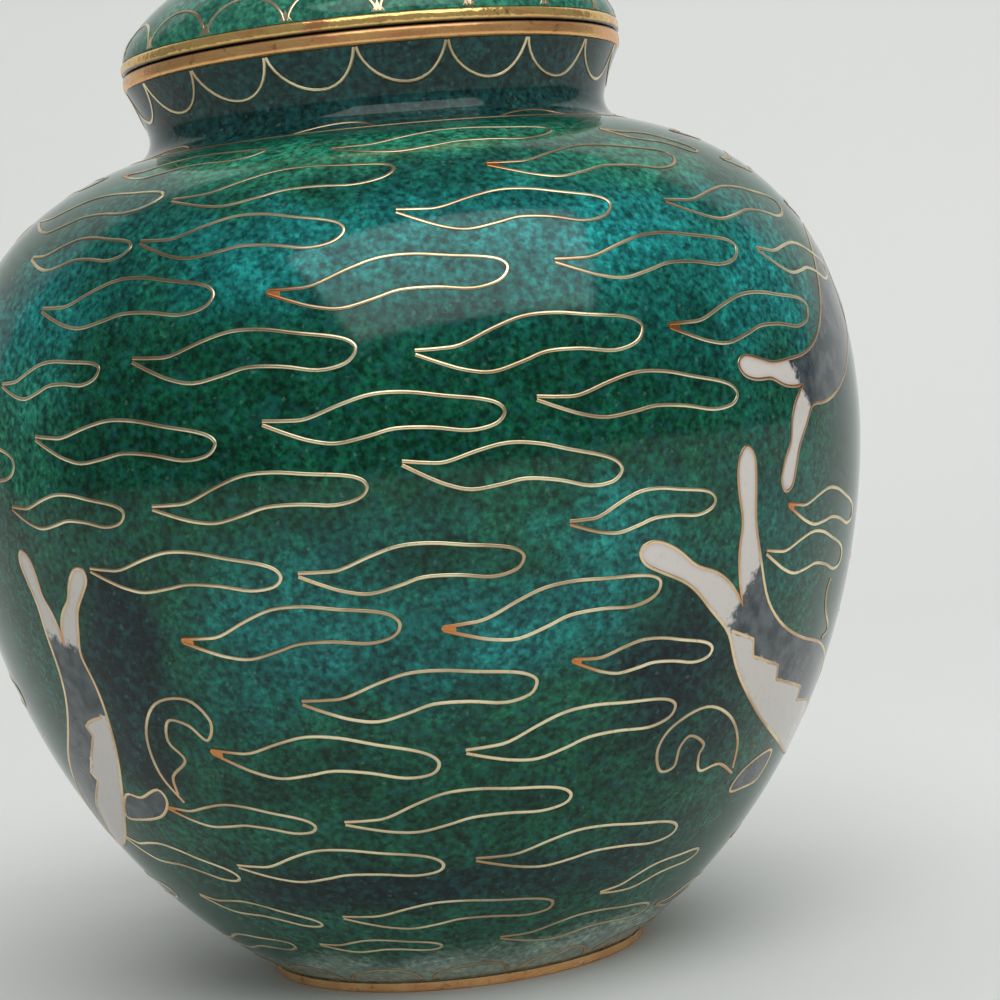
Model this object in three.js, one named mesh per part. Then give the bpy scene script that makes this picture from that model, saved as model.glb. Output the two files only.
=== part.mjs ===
// Ginger jar with a lift-off domed lid: an enamelled copper vessel with brass bands on its edges.
// Millimetres, +Z up, origin on the ground under the middle of the foot.

import * as THREE from 'three';

// Facets around each turned piece, a multiple of four so that the widest points lie on the axes.
const AROUND = 56;

// Foot band
const FOOT_RADIUS = 20.9;
const FOOT_BAND_HEIGHT = 1.0;
const FOOT_BAND_WIDTH = 2.0;

// Jar body, heights counted from the top of the foot band
const BODY_RADIUS = 50;
const BODY_WALL = 2.0;
const BELLY_RISE = 56.3;
const SHOULDER_RISE = 32.8;
const SHOULDER_RADIUS = 27.8;
const NECK_RADIUS = 25.3;
const NECK_FILLET_RISE = 2.8;
const NECK_FLARE_RISE = 5.3;
const MOUTH_RADIUS = 27.3;
const BASE_RISE = 1.2;

// Fullness of the body's curves, as shares of each curve's own width and height
const LOWER_FULL_OUT = 0.866;
const LOWER_FULL_UP = 0.302;
const LOWER_FULL_END = 0.173;
const UPPER_FULL_START = 0.561;
const UPPER_FULL_OUT = 0.646;
const UPPER_FULL_DOWN = 0.121;
const FLARE_FULL = 0.21;

// Mouth band on the jar's rim
const MOUTH_BAND_HEIGHT = 1.65;
const BAND_PROUD = 0.2;
const BAND_EDGE = 0.55;

// Lid band, with the collar that keeps the lid centred in the neck
const LID_BAND_HEIGHT = 1.4;
const LID_OVERHANG = 0.1;
const COLLAR_DEPTH = 5.0;
const COLLAR_WALL = 1.2;
const COLLAR_CLEARANCE = 0.5;

// Lid dome
const LID_RISE = 13.2;
const LID_WALL = 1.8;
const DOME_FULL_SIDE = 0.3;
const DOME_FULL_TOP = 0.55;

// Steps in which each curve is cut
const BODY_STEPS = 8;
const NECK_STEPS = 3;
const DOME_STEPS = 8;
const EDGE_STEPS = 2;

// Heights above the ground, each standing on the one before
const FOOT_TOP = FOOT_BAND_HEIGHT;
const BELLY = FOOT_TOP + BELLY_RISE;
const SHOULDER = BELLY + SHOULDER_RISE;
const WAIST = SHOULDER + NECK_FILLET_RISE;
const RIM = WAIST + NECK_FLARE_RISE;
const SEAT = RIM + MOUTH_BAND_HEIGHT;
const LID_RIM = SEAT + LID_BAND_HEIGHT;
const LID_TOP = LID_RIM + LID_RISE;
const BASE_UNDER = FOOT_TOP + BASE_RISE;
const BASE_TOP = BASE_UNDER + BODY_WALL;
const LID_RADIUS = MOUTH_RADIUS + LID_OVERHANG;

const at = (radius, height) => new THREE.Vector2(radius, height);

// The belly below its widest place, from the foot outwards.
function lowerCurve() {
  const width = BODY_RADIUS - FOOT_RADIUS;
  return new THREE.CubicBezierCurve(
    at(FOOT_RADIUS, FOOT_TOP),
    at(FOOT_RADIUS + LOWER_FULL_OUT * width, FOOT_TOP + LOWER_FULL_UP * BELLY_RISE),
    at(BODY_RADIUS, BELLY - LOWER_FULL_END * BELLY_RISE),
    at(BODY_RADIUS, BELLY),
  );
}

// The shoulder, from the widest place in to the foot of the neck.
function upperCurve() {
  const width = BODY_RADIUS - SHOULDER_RADIUS;
  return new THREE.CubicBezierCurve(
    at(BODY_RADIUS, BELLY),
    at(BODY_RADIUS, BELLY + UPPER_FULL_START * SHOULDER_RISE),
    at(SHOULDER_RADIUS + UPPER_FULL_OUT * width, SHOULDER - UPPER_FULL_DOWN * SHOULDER_RISE),
    at(SHOULDER_RADIUS, SHOULDER),
  );
}

// The hollow between shoulder and neck, which leaves the shoulder on its own slope.
function filletCurve() {
  const width = BODY_RADIUS - SHOULDER_RADIUS;
  const slope = (UPPER_FULL_DOWN * SHOULDER_RISE) / (UPPER_FULL_OUT * width);
  return new THREE.QuadraticBezierCurve(
    at(SHOULDER_RADIUS, SHOULDER),
    at(NECK_RADIUS, SHOULDER + slope * (SHOULDER_RADIUS - NECK_RADIUS)),
    at(NECK_RADIUS, WAIST),
  );
}

// The neck above its waist, flaring to the mouth.
function flareCurve() {
  return new THREE.QuadraticBezierCurve(
    at(NECK_RADIUS, WAIST),
    at(NECK_RADIUS, WAIST + FLARE_FULL * NECK_FLARE_RISE),
    at(MOUTH_RADIUS, RIM),
  );
}

// The lid's dome, from its rim in to the axis.
function domeCurve() {
  return new THREE.CubicBezierCurve(
    at(LID_RADIUS, LID_RIM),
    at(LID_RADIUS, LID_RIM + DOME_FULL_SIDE * LID_RISE),
    at(DOME_FULL_TOP * LID_RADIUS, LID_TOP),
    at(0, LID_TOP),
  );
}

// Points of a wall's outer face and, one wall further in, of its inner face.
function walk(curves, steps, wall) {
  const outer = [];
  const inner = [];
  curves.forEach((curve, n) => {
    for (let i = n === 0 ? 0 : 1; i <= steps[n]; i += 1) {
      const point = curve.getPoint(i / steps[n]);
      const along = curve.getTangent(i / steps[n]);
      outer.push(point);
      inner.push(at(Math.max(0, point.x - wall * along.y), point.y + wall * along.x));
    }
  });
  return { outer, inner };
}

// The part of a rising line of points between two heights, with new ends on those heights.
function between(points, low, high) {
  const kept = [];
  for (let i = 1; i < points.length; i += 1) {
    const [a, b] = [points[i - 1], points[i]];
    const crossing = (height) => a.clone().lerp(b, (height - a.y) / (b.y - a.y));
    if (a.y <= low && b.y > low) kept.push(at(crossing(low).x, low));
    if (a.y > low && a.y < high) kept.push(a);
    if (a.y < high && b.y >= high) kept.push(at(crossing(high).x, high));
  }
  return kept;
}

// A quarter round from one point to another about the corner between them.
function roundEdge(from, corner, to) {
  return new THREE.QuadraticBezierCurve(from, corner, to).getPoints(EDGE_STEPS);
}

// The outer side of a band, both edges rounded, from its bottom to its top.
function bandSide(radius, bottom, top) {
  const edge = Math.min(BAND_EDGE, (top - bottom) / 2);
  const low = roundEdge(at(radius - edge, bottom), at(radius, bottom), at(radius, bottom + edge));
  const high = roundEdge(at(radius, top - edge), at(radius, top), at(radius - edge, top));
  return [...low, ...high];
}

// One turned piece from a section that closes on itself or on the axis, standing up along +Z.
function turned(name, section, material) {
  const mesh = new THREE.Mesh(new THREE.LatheGeometry(section, AROUND), material);
  mesh.name = name;
  mesh.rotation.x = Math.PI / 2;
  return mesh;
}

const closed = (points) => [...points, points[0].clone()];

const enamel = (color) => new THREE.MeshStandardMaterial({ color, roughness: 0.12, metalness: 0 });
const brass = (color) => new THREE.MeshStandardMaterial({ color, roughness: 0.3, metalness: 1 });

const bodyWall = walk(
  [lowerCurve(), upperCurve(), filletCurve(), flareCurve()],
  [BODY_STEPS, BODY_STEPS, NECK_STEPS, NECK_STEPS],
  BODY_WALL,
);
const bodyInside = between(bodyWall.inner, BASE_TOP, RIM);
const mouthBore = bodyInside[bodyInside.length - 1].x;
const neckBore = Math.min(...bodyInside.filter((point) => point.y > SHOULDER).map((point) => point.x));

// The vessel: one wall from the base up to the rim, its base set up inside the foot.
function jarBody() {
  const footInside = FOOT_RADIUS - FOOT_BAND_WIDTH;
  const section = [
    at(0, BASE_UNDER),
    at(footInside, BASE_UNDER),
    at(footInside, FOOT_TOP),
    ...bodyWall.outer,
    ...[...bodyInside].reverse(),
    at(0, BASE_TOP),
  ];
  return turned('jar_body', section, enamel(0x11604e));
}

// The ring that the jar stands on.
function footBand() {
  const inside = FOOT_RADIUS - FOOT_BAND_WIDTH;
  const edge = Math.min(BAND_EDGE, FOOT_BAND_HEIGHT / 2);
  const section = closed([
    at(inside, 0),
    ...roundEdge(at(FOOT_RADIUS - edge, 0), at(FOOT_RADIUS, 0), at(FOOT_RADIUS, edge)),
    at(FOOT_RADIUS, FOOT_TOP),
    at(inside, FOOT_TOP),
  ]);
  return turned('foot_band', section, brass(0xb07a38));
}

// The ring on the jar's rim, which the lid rests on.
function mouthBand() {
  const section = closed([
    at(mouthBore, RIM),
    ...bandSide(MOUTH_RADIUS + BAND_PROUD, RIM, SEAT),
    at(mouthBore, SEAT),
  ]);
  return turned('mouth_band', section, brass(0xb5793c));
}

// The ring under the lid, in one with the collar that drops into the neck.
function lidBand() {
  const collarOutside = neckBore - COLLAR_CLEARANCE;
  const collarInside = collarOutside - COLLAR_WALL;
  const section = closed([
    at(collarInside, SEAT - COLLAR_DEPTH),
    at(collarOutside, SEAT - COLLAR_DEPTH),
    at(collarOutside, SEAT),
    ...bandSide(LID_RADIUS + BAND_PROUD, SEAT, LID_RIM),
    at(collarInside, LID_RIM),
  ]);
  return turned('lid_band', section, brass(0xd6a548));
}

// The hollow dome, open below.
function lidShell() {
  const wall = walk([domeCurve()], [DOME_STEPS], LID_WALL);
  const insideDown = wall.inner.slice(1).reverse();
  const section = [...insideDown, at(LID_RADIUS - LID_WALL, LID_RIM), ...wall.outer];
  return turned('lid_shell', section, enamel(0x17694f));
}

const gingerJar = new THREE.Group();
gingerJar.add(jarBody(), footBand(), mouthBand(), lidBand(), lidShell());

export default gingerJar;
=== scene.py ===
"""Looks of a cloisonne ginger jar: speckled enamel, inlaid wires and fish, and gilded bands.

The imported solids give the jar's place and overall size. Lengths are in metres, turns in
degrees round the jar from its front (-Y) towards +X, and a climb is the way along the
jar's outer outline, counted from the foot band.
"""

import logging
import math
import random
from collections.abc import Callable
from dataclasses import dataclass, field, replace
from enum import Enum

import bpy
import numpy as np
from mathutils import Matrix, Vector, geometry, noise


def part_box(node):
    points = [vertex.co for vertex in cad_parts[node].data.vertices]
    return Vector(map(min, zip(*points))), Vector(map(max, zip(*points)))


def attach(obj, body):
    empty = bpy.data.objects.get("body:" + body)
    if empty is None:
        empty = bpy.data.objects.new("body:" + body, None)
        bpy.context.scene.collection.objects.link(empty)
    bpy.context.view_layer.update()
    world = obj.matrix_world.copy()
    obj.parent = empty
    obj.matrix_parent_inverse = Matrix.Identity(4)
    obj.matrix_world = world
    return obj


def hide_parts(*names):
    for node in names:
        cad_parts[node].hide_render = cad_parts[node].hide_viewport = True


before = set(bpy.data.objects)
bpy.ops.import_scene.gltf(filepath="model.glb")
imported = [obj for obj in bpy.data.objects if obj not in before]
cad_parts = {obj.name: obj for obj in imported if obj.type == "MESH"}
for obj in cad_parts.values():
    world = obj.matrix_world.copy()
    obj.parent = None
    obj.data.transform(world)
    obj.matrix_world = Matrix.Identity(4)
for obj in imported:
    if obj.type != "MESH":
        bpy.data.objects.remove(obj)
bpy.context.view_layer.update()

log = logging.getLogger("ginger_jar")

MM = 0.001
BODY = "root"

# How solid shapes are cut, and the section of a wire as shares of its own half width
MERGED = 0.002 * MM
WIRE_SIDES = 8
# Below this share the wire's section is marked for painted shade along its sides.
SHADED_FLANK_BELOW = 0.35
CROWN_FLATNESS = 1.3
SIDE_SQUARENESS = 1.6

# Grain of the inlaid fields, and how coppery a wire is that solder has only tinged
FIELD_PITCH = 0.6 * MM
FAINT_SOLDER = 0.3

# How far from the joint between jar and lid the painted shade of the gap starts, and where it is
# full
JOINT_SHADE_REACH = (0.42 * MM, 0.10 * MM)

Pixel = tuple[float, float]
Spot = tuple[float, float]
Range = tuple[float, float]
Colour = tuple[float, float, float]
Stretch = tuple[float, float, float]
Shading = Callable[[np.ndarray], np.ndarray]
Piece = bpy.types.Object
Material = bpy.types.Material
Tree = bpy.types.NodeTree
Socket = bpy.types.NodeSocket


def bezier(points: list[Spot], steps: int) -> np.ndarray:
    """Points along a Bezier curve of any order.

    Args:
        points: the curve's control points, each a radius and a height.
        steps: how many equal steps of the parameter it is cut into.

    Returns:
        An array of steps + 1 points.
    """
    share = np.linspace(0, 1, steps + 1)[:, None]
    layers = [np.repeat([point], steps + 1, axis=0).astype(float) for point in points]
    while len(layers) > 1:
        layers = [a * (1 - share) + b * share for a, b in zip(layers, layers[1:])]
    return layers[0]


def through(points: list[Spot], steps: int = 6, closed: bool = False) -> np.ndarray:
    """A smooth line through given points (Catmull-Rom).

    Args:
        points: the points in order.
        steps: how many steps each stretch between two points gets.
        closed: whether the line runs back to its first point.

    Returns:
        An array of points, the last one left out when the line is closed.
    """
    knots = np.array(points, float)
    if closed:
        padded = np.vstack([knots[-1], knots, knots[:2]])
    else:
        padded = np.vstack([2 * knots[0] - knots[1], knots, 2 * knots[-1] - knots[-2]])
    share = np.linspace(0, 1, steps, endpoint=False)[:, None]
    line = []
    for a, b, c, d in zip(padded, padded[1:], padded[2:], padded[3:]):
        bend = 2 * a - 5 * b + 4 * c - d
        twist = 3 * (b - c) + d - a
        line.append(b + 0.5 * share * ((c - a) + share * (bend + share * twist)))
    if not closed:
        line.append(knots[-1:])
    return np.vstack(line)


def stepped(points: list[Spot], steps: int) -> np.ndarray:
    """Straight stretches between points.

    Args:
        points: the points in order.
        steps: how many steps each stretch is cut into.

    Returns:
        An array of points.
    """
    knots = np.array(points, float)
    place = np.linspace(0, len(knots) - 1, (len(knots) - 1) * steps + 1)
    return np.column_stack([np.interp(place, np.arange(len(knots)), knots[:, i]) for i in (0, 1)])


def smooth_step(low: float, high: float, value: np.ndarray) -> np.ndarray:
    """Rises smoothly from 0 at low to 1 at high."""
    share = np.clip((value - low) / (high - low), 0, 1)
    return share * share * (3 - 2 * share)


@dataclass(frozen=True)
class JarShape:
    """The jar's own sizes.

    The first ten are read from the frame. The last nine say how full its curves are, as
    shares of each curve's own width or height.
    """

    foot_radius: float
    foot_top: float
    belly_radius: float
    rim: float
    seat: float
    mouth_band_radius: float
    lid_band_radius: float
    lid_rim: float
    lid_radius: float
    lid_top: float
    belly: float = 57.3 * MM
    shoulder: float = 90.1 * MM
    waist: float = 92.9 * MM
    shoulder_radius: float = 27.8 * MM
    neck_radius: float = 25.3 * MM
    mouth_radius: float = 27.3 * MM
    foot_width: float = 2.0 * MM
    base_rise: float = 1.2 * MM
    wall: float = 2.0 * MM
    lid_wall: float = 1.8 * MM
    collar_depth: float = 5.0 * MM
    collar_wall: float = 1.2 * MM
    collar_radius: float = 22.8 * MM
    mouth_bore: float = 25.1 * MM
    band_edge: float = 0.55 * MM
    enamel_depth: float = 0.08 * MM
    lower_out: float = 0.866
    lower_up: float = 0.302
    lower_end: float = 0.173
    upper_start: float = 0.561
    upper_out: float = 0.646
    upper_down: float = 0.121
    flare: float = 0.21
    dome_side: float = 0.3
    dome_top: float = 0.55

    @classmethod
    def from_frame(cls) -> "JarShape":
        """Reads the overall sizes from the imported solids.

        Returns:
            The jar's sizes.
        """
        foot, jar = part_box("foot_band")[1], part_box("jar_body")[1]
        mouth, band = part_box("mouth_band")[1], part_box("lid_band")[1]
        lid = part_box("lid_shell")[1]
        return cls(
            foot_radius=foot.x, foot_top=foot.z, belly_radius=jar.x, rim=jar.z, seat=mouth.z,
            mouth_band_radius=mouth.x, lid_band_radius=band.x, lid_rim=band.z,
            lid_radius=lid.x, lid_top=lid.z,
        )


class Outline:
    """The outer line of a turned piece, walked from its lower end."""

    NUDGE: float = 0.2 * MM

    def __init__(self, points: np.ndarray) -> None:
        """Keeps the points and how far along the line each lies.

        Args:
            points: radius and height of each point, from the lower end.
        """
        self.points = points
        steps = np.hypot(*np.diff(points, axis=0).T)
        self.climbs = np.concatenate([[0.0], np.cumsum(steps)])

    @property
    def length(self) -> float:
        """The whole way along the line."""
        return float(self.climbs[-1])

    def at(self, climb: np.ndarray | float) -> tuple[np.ndarray, np.ndarray]:
        """Radius and height at a climb."""
        radius = np.interp(climb, self.climbs, self.points[:, 0])
        return radius, np.interp(climb, self.climbs, self.points[:, 1])

    def inset(self, depth: float) -> np.ndarray:
        """The line moved inwards, square to itself.

        Args:
            depth: how far it moves.

        Returns:
            The moved points.
        """
        along = np.gradient(self.points, self.climbs, axis=0)
        along /= np.hypot(*along.T)[:, None]
        inward = np.column_stack([-along[:, 1], along[:, 0]])
        moved = self.points + depth * inward
        moved[:, 0] = np.maximum(moved[:, 0], 0)
        return moved

    def climb_at_height(self, height: np.ndarray | float) -> np.ndarray:
        """The climb at which the line reaches a height."""
        return np.interp(height, self.points[:, 1], self.climbs)

    def place(self, turn: float, climb: float, lift: float = 0.0) -> Vector:
        """A point on the turned surface, lifted off it along its normal.

        Args:
            turn: in radians from the front towards +X.
            climb: the way along the outline.
            lift: the distance outwards from the surface.

        Returns:
            The point.
        """
        radius, height = self.at(climb)
        below, above = self.at(climb - self.NUDGE), self.at(climb + self.NUDGE)
        along = np.array([above[0] - below[0], above[1] - below[1]])
        along /= np.hypot(*along)
        radius, height = radius + lift * along[1], height - lift * along[0]
        return Vector((radius * math.sin(turn), -radius * math.cos(turn), height))


def body_outline(shape: JarShape, steps: int = 70, hollow_steps: int = 8,
                 flare_steps: int = 10) -> Outline:
    """The jar's side from the foot band to the rim, as four curves joined end to end.

    Args:
        shape: the jar's sizes.
        steps: how many steps the belly and the shoulder each get.
        hollow_steps: how many the hollow under the neck gets.
        flare_steps: how many the neck's flare gets.

    Returns:
        The outline.
    """
    foot, belly = shape.foot_radius, shape.belly_radius
    shoulder, neck = shape.shoulder_radius, shape.neck_radius
    low_width, low_rise = belly - foot, shape.belly - shape.foot_top
    width, rise = belly - shoulder, shape.shoulder - shape.belly
    lean = shape.upper_down * rise / (shape.upper_out * width)
    lower = [
        (foot, shape.foot_top),
        (foot + shape.lower_out * low_width, shape.foot_top + shape.lower_up * low_rise),
        (belly, shape.belly - shape.lower_end * low_rise),
        (belly, shape.belly),
    ]
    upper = [
        lower[-1],
        (belly, shape.belly + shape.upper_start * rise),
        (shoulder + shape.upper_out * width, shape.shoulder - shape.upper_down * rise),
        (shoulder, shape.shoulder),
    ]
    hollow = [upper[-1], (neck, shape.shoulder + lean * (shoulder - neck)), (neck, shape.waist)]
    flare = [
        hollow[-1],
        (neck, shape.waist + shape.flare * (shape.rim - shape.waist)),
        (shape.mouth_radius, shape.rim),
    ]
    parts = [bezier(lower, steps), bezier(upper, steps),
             bezier(hollow, hollow_steps), bezier(flare, flare_steps)]
    return Outline(np.vstack([parts[0]] + [part[1:] for part in parts[1:]]))


def lid_outline(shape: JarShape, steps: int = 48) -> Outline:
    """The lid's dome from its rim in to the axis.

    Args:
        shape: the jar's sizes.
        steps: how many steps it is cut into.

    Returns:
        The outline.
    """
    rise = shape.lid_top - shape.lid_rim
    return Outline(bezier([
        (shape.lid_radius, shape.lid_rim),
        (shape.lid_radius, shape.lid_rim + shape.dome_side * rise),
        (shape.dome_top * shape.lid_radius, shape.lid_top),
        (0.0, shape.lid_top),
    ], steps))


@dataclass(frozen=True)
class Sight:
    """The camera: where it stands, how it is turned, and what it strikes on the jar."""

    distance: float = 296.8 * MM
    height: float = 66.8 * MM
    yaw: float = 1.814
    pitch: float = -3.312
    roll: float = -5.622
    focal_pixels: float = 2655.8
    frame_pixels: float = 1000.0
    sensor: float = 36.0
    near: float = 0.20
    far: float = 0.32
    tries: int = 6001
    clip: Range = (0.02, 20.0)

    def axes(self) -> tuple[Vector, Vector, Vector]:
        """The picture's right and up directions and the way it looks.

        Returns:
            Three unit vectors: right, up and ahead.
        """
        yaw, pitch, roll = (math.radians(a) for a in (self.yaw, self.pitch, self.roll))
        ahead = Vector((
            math.sin(yaw) * math.cos(pitch), math.cos(yaw) * math.cos(pitch), math.sin(pitch)
        ))
        level = ahead.cross(Vector((0, 0, 1))).normalized()
        upright = level.cross(ahead)
        right = math.cos(roll) * level + math.sin(roll) * upright
        up = -math.sin(roll) * level + math.cos(roll) * upright
        return right, up, ahead

    def eye(self) -> Vector:
        """Where the camera stands."""
        return Vector((0, -self.distance, self.height))

    def strike(self, pixel: Pixel, outline: Outline) -> Spot:
        """Where the sight line through a pixel first meets a turned surface.

        Args:
            pixel: across and down in the 1000 x 1000 picture.
            outline: the surface's outline.

        Returns:
            The turn in radians and the climb.
        """
        right, up, ahead = (np.array(axis) for axis in self.axes())
        middle = self.frame_pixels / 2
        ray = ahead * self.focal_pixels + right * (pixel[0] - middle) + up * (middle - pixel[1])
        ray /= np.linalg.norm(ray)
        way = np.linspace(self.near, self.far, self.tries)[:, None]
        spots = np.array(self.eye()) + way * ray
        height = spots[:, 2]
        surface = np.interp(height, outline.points[:, 1], outline.points[:, 0])
        inside = (np.hypot(spots[:, 0], spots[:, 1]) <= surface)
        inside &= (height >= outline.points[0, 1]) & (height <= outline.points[-1, 1])
        if not inside.any():
            raise ValueError(f"the sight line through {pixel} misses the jar")
        spot = spots[int(np.argmax(inside))]
        return math.atan2(spot[0], -spot[1]), float(outline.climb_at_height(spot[2]))

    def stand_camera(self) -> None:
        """Makes the scene's camera."""
        data = bpy.data.cameras.new("sight")
        data.sensor_width = self.sensor
        data.lens = self.focal_pixels * self.sensor / self.frame_pixels
        data.clip_start, data.clip_end = self.clip
        camera = bpy.data.objects.new("sight", data)
        bpy.context.scene.collection.objects.link(camera)
        right, up, ahead = self.axes()
        turned = Matrix((right, up, -ahead)).transposed().to_4x4()
        camera.matrix_world = Matrix.Translation(self.eye()) @ turned
        bpy.context.scene.camera = camera


class Nodes:
    """A node tree being built: adds nodes and joins them up."""

    def __init__(self, tree: Tree) -> None:
        """Starts from a tree."""
        self.tree = tree

    def add(self, kind: str, inputs: dict | None = None, **settings: object) -> bpy.types.Node:
        """Adds a node.

        Args:
            kind: the node's type name.
            inputs: values or sockets for its inputs, by name or number.
            settings: the node's own properties.

        Returns:
            The node.
        """
        node = self.tree.nodes.new(kind)
        for name, value in settings.items():
            setattr(node, name, value)
        for name, value in (inputs or {}).items():
            self.feed(node.inputs[name], value)
        return node

    def feed(self, socket: Socket, value: object) -> None:
        """Sets an input to a value, or joins another node's output to it.

        Args:
            socket: the input.
            value: the value, or the other node's output.
        """
        if isinstance(value, Socket):
            self.tree.links.new(value, socket)
        else:
            socket.default_value = value

    def maths(self, operation: str, *values: object) -> Socket:
        """A Math node's result."""
        node = self.add("ShaderNodeMath", dict(enumerate(values)), operation=operation)
        return node.outputs[0]


class FieldNodes(Nodes):
    """Shape nodes with a short form for vectors."""

    def vector(self, x: object = 0.0, y: object = 0.0, z: object = 0.0) -> Socket:
        """Joins three numbers to a vector."""
        return self.add("ShaderNodeCombineXYZ", {0: x, 1: y, 2: z}).outputs[0]


@dataclass(frozen=True)
class Blots:
    """Soft noise: how large its blots are, and the values that its lows and highs become."""

    size: float
    detail: float
    low: float
    high: float
    least: float = 0.0
    most: float = 1.0
    stretch: Stretch = (1, 1, 1)


class ShadeNodes(Nodes):
    """Shader nodes with short forms for patterns and mixing."""

    def place(self, scale: Stretch = (1, 1, 1)) -> Socket:
        """Object coordinates, scaled."""
        place = self.add("ShaderNodeTexCoord").outputs["Object"]
        return self.add("ShaderNodeMapping", {"Vector": place, "Scale": scale}).outputs[0]

    def clouds(self, size: float, detail: float, stretch: Stretch = (1, 1, 1)) -> Socket:
        """Soft noise whose blots measure about a size, in metres."""
        inputs = {"Vector": self.place(stretch), "Scale": 1 / size, "Detail": detail}
        return self.add("ShaderNodeTexNoise", inputs).outputs[0]

    def blots(self, blots: Blots) -> Socket:
        """Soft noise, mapped to its values."""
        clouds = self.clouds(blots.size, blots.detail, blots.stretch)
        return self.span(clouds, blots.low, blots.high, blots.least, blots.most)

    def grains(self, size: float) -> Socket:
        """Cells of a size, each with a colour of its own by chance."""
        cells = self.add("ShaderNodeTexVoronoi", {"Vector": self.place(), "Scale": 1 / size})
        return cells.outputs["Color"]

    def span(self, value: object, low: float, high: float, least: float = 0.0,
             most: float = 1.0) -> Socket:
        """Maps one range of numbers to another, held at its ends."""
        inputs = {0: value, 1: low, 2: high, 3: least, 4: most}
        return self.add("ShaderNodeMapRange", inputs).outputs[0]

    def mix(self, share: object, first: object, second: object,
            blend: str = "MIX") -> Socket:
        """Mixes two colours.

        Args:
            share: how much of the second colour there is.
            first: the first colour or its socket.
            second: the second colour or its socket.
            blend: the way of mixing.

        Returns:
            The mixed colour.
        """
        first, second = (
            (*c, 1.0) if isinstance(c, tuple) and len(c) == 3 else c for c in (first, second)
        )
        node = self.add("ShaderNodeMix", {0: share, 6: first, 7: second},
                        data_type="RGBA", blend_type=blend)
        return node.outputs[2]

    def attribute(self, name: str, output: str = "Fac") -> Socket:
        """A mesh attribute."""
        return self.add("ShaderNodeAttribute", attribute_name=name).outputs[output]

    def part(self, colour: object, number: int) -> Socket:
        """One channel of a colour."""
        return self.add("ShaderNodeSeparateColor", {0: colour}).outputs[number]

    def bump(self, height: object, strength: float, depth: float,
             under: Socket | None = None) -> Socket:
        """A bump, on top of another where one is given.

        Args:
            height: the pattern.
            strength: how much of it shows.
            depth: how deep it is, in metres.
            under: the bump below it.

        Returns:
            The bent normal.
        """
        inputs = {"Height": height, "Strength": strength, "Distance": depth}
        if under is not None:
            inputs["Normal"] = under
        return self.add("ShaderNodeBump", inputs).outputs[0]


class Tint(Enum):
    """The enamel's colours."""

    GREEN = (0.005, 0.070, 0.038)
    DEEP = (0.002, 0.048, 0.024)
    SEA = (0.003, 0.080, 0.068)
    TEAL = (0.010, 0.180, 0.172)
    NAVY = (0.003, 0.014, 0.016)
    INK = (0.007, 0.036, 0.035)
    # Pale enamel near the foot, partly its own colour and partly painted light: made paler to stand
    # in for light reflected up onto the foot.
    MIST = (0.340, 0.430, 0.370)
    JADE = (0.022, 0.185, 0.105)
    LID = (0.030, 0.165, 0.105)
    TURQUOISE = (0.060, 0.380, 0.360)


@dataclass(frozen=True)
class Finish:
    """A finish: a name for its material and a way to make it."""

    name: str

    def build(self) -> Material:
        """Makes the material.

        Returns:
            The material.
        """
        material = bpy.data.materials.new(self.name)
        material.use_nodes = True
        nodes = ShadeNodes(material.node_tree)
        shader = material.node_tree.nodes["Principled BSDF"]
        for name, value in self.looks(nodes).items():
            nodes.feed(shader.inputs[name], value)
        return material

    def looks(self, nodes: ShadeNodes) -> dict[str, object]:
        """The values and patterns for the shader's inputs, by name."""
        raise NotImplementedError


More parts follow.
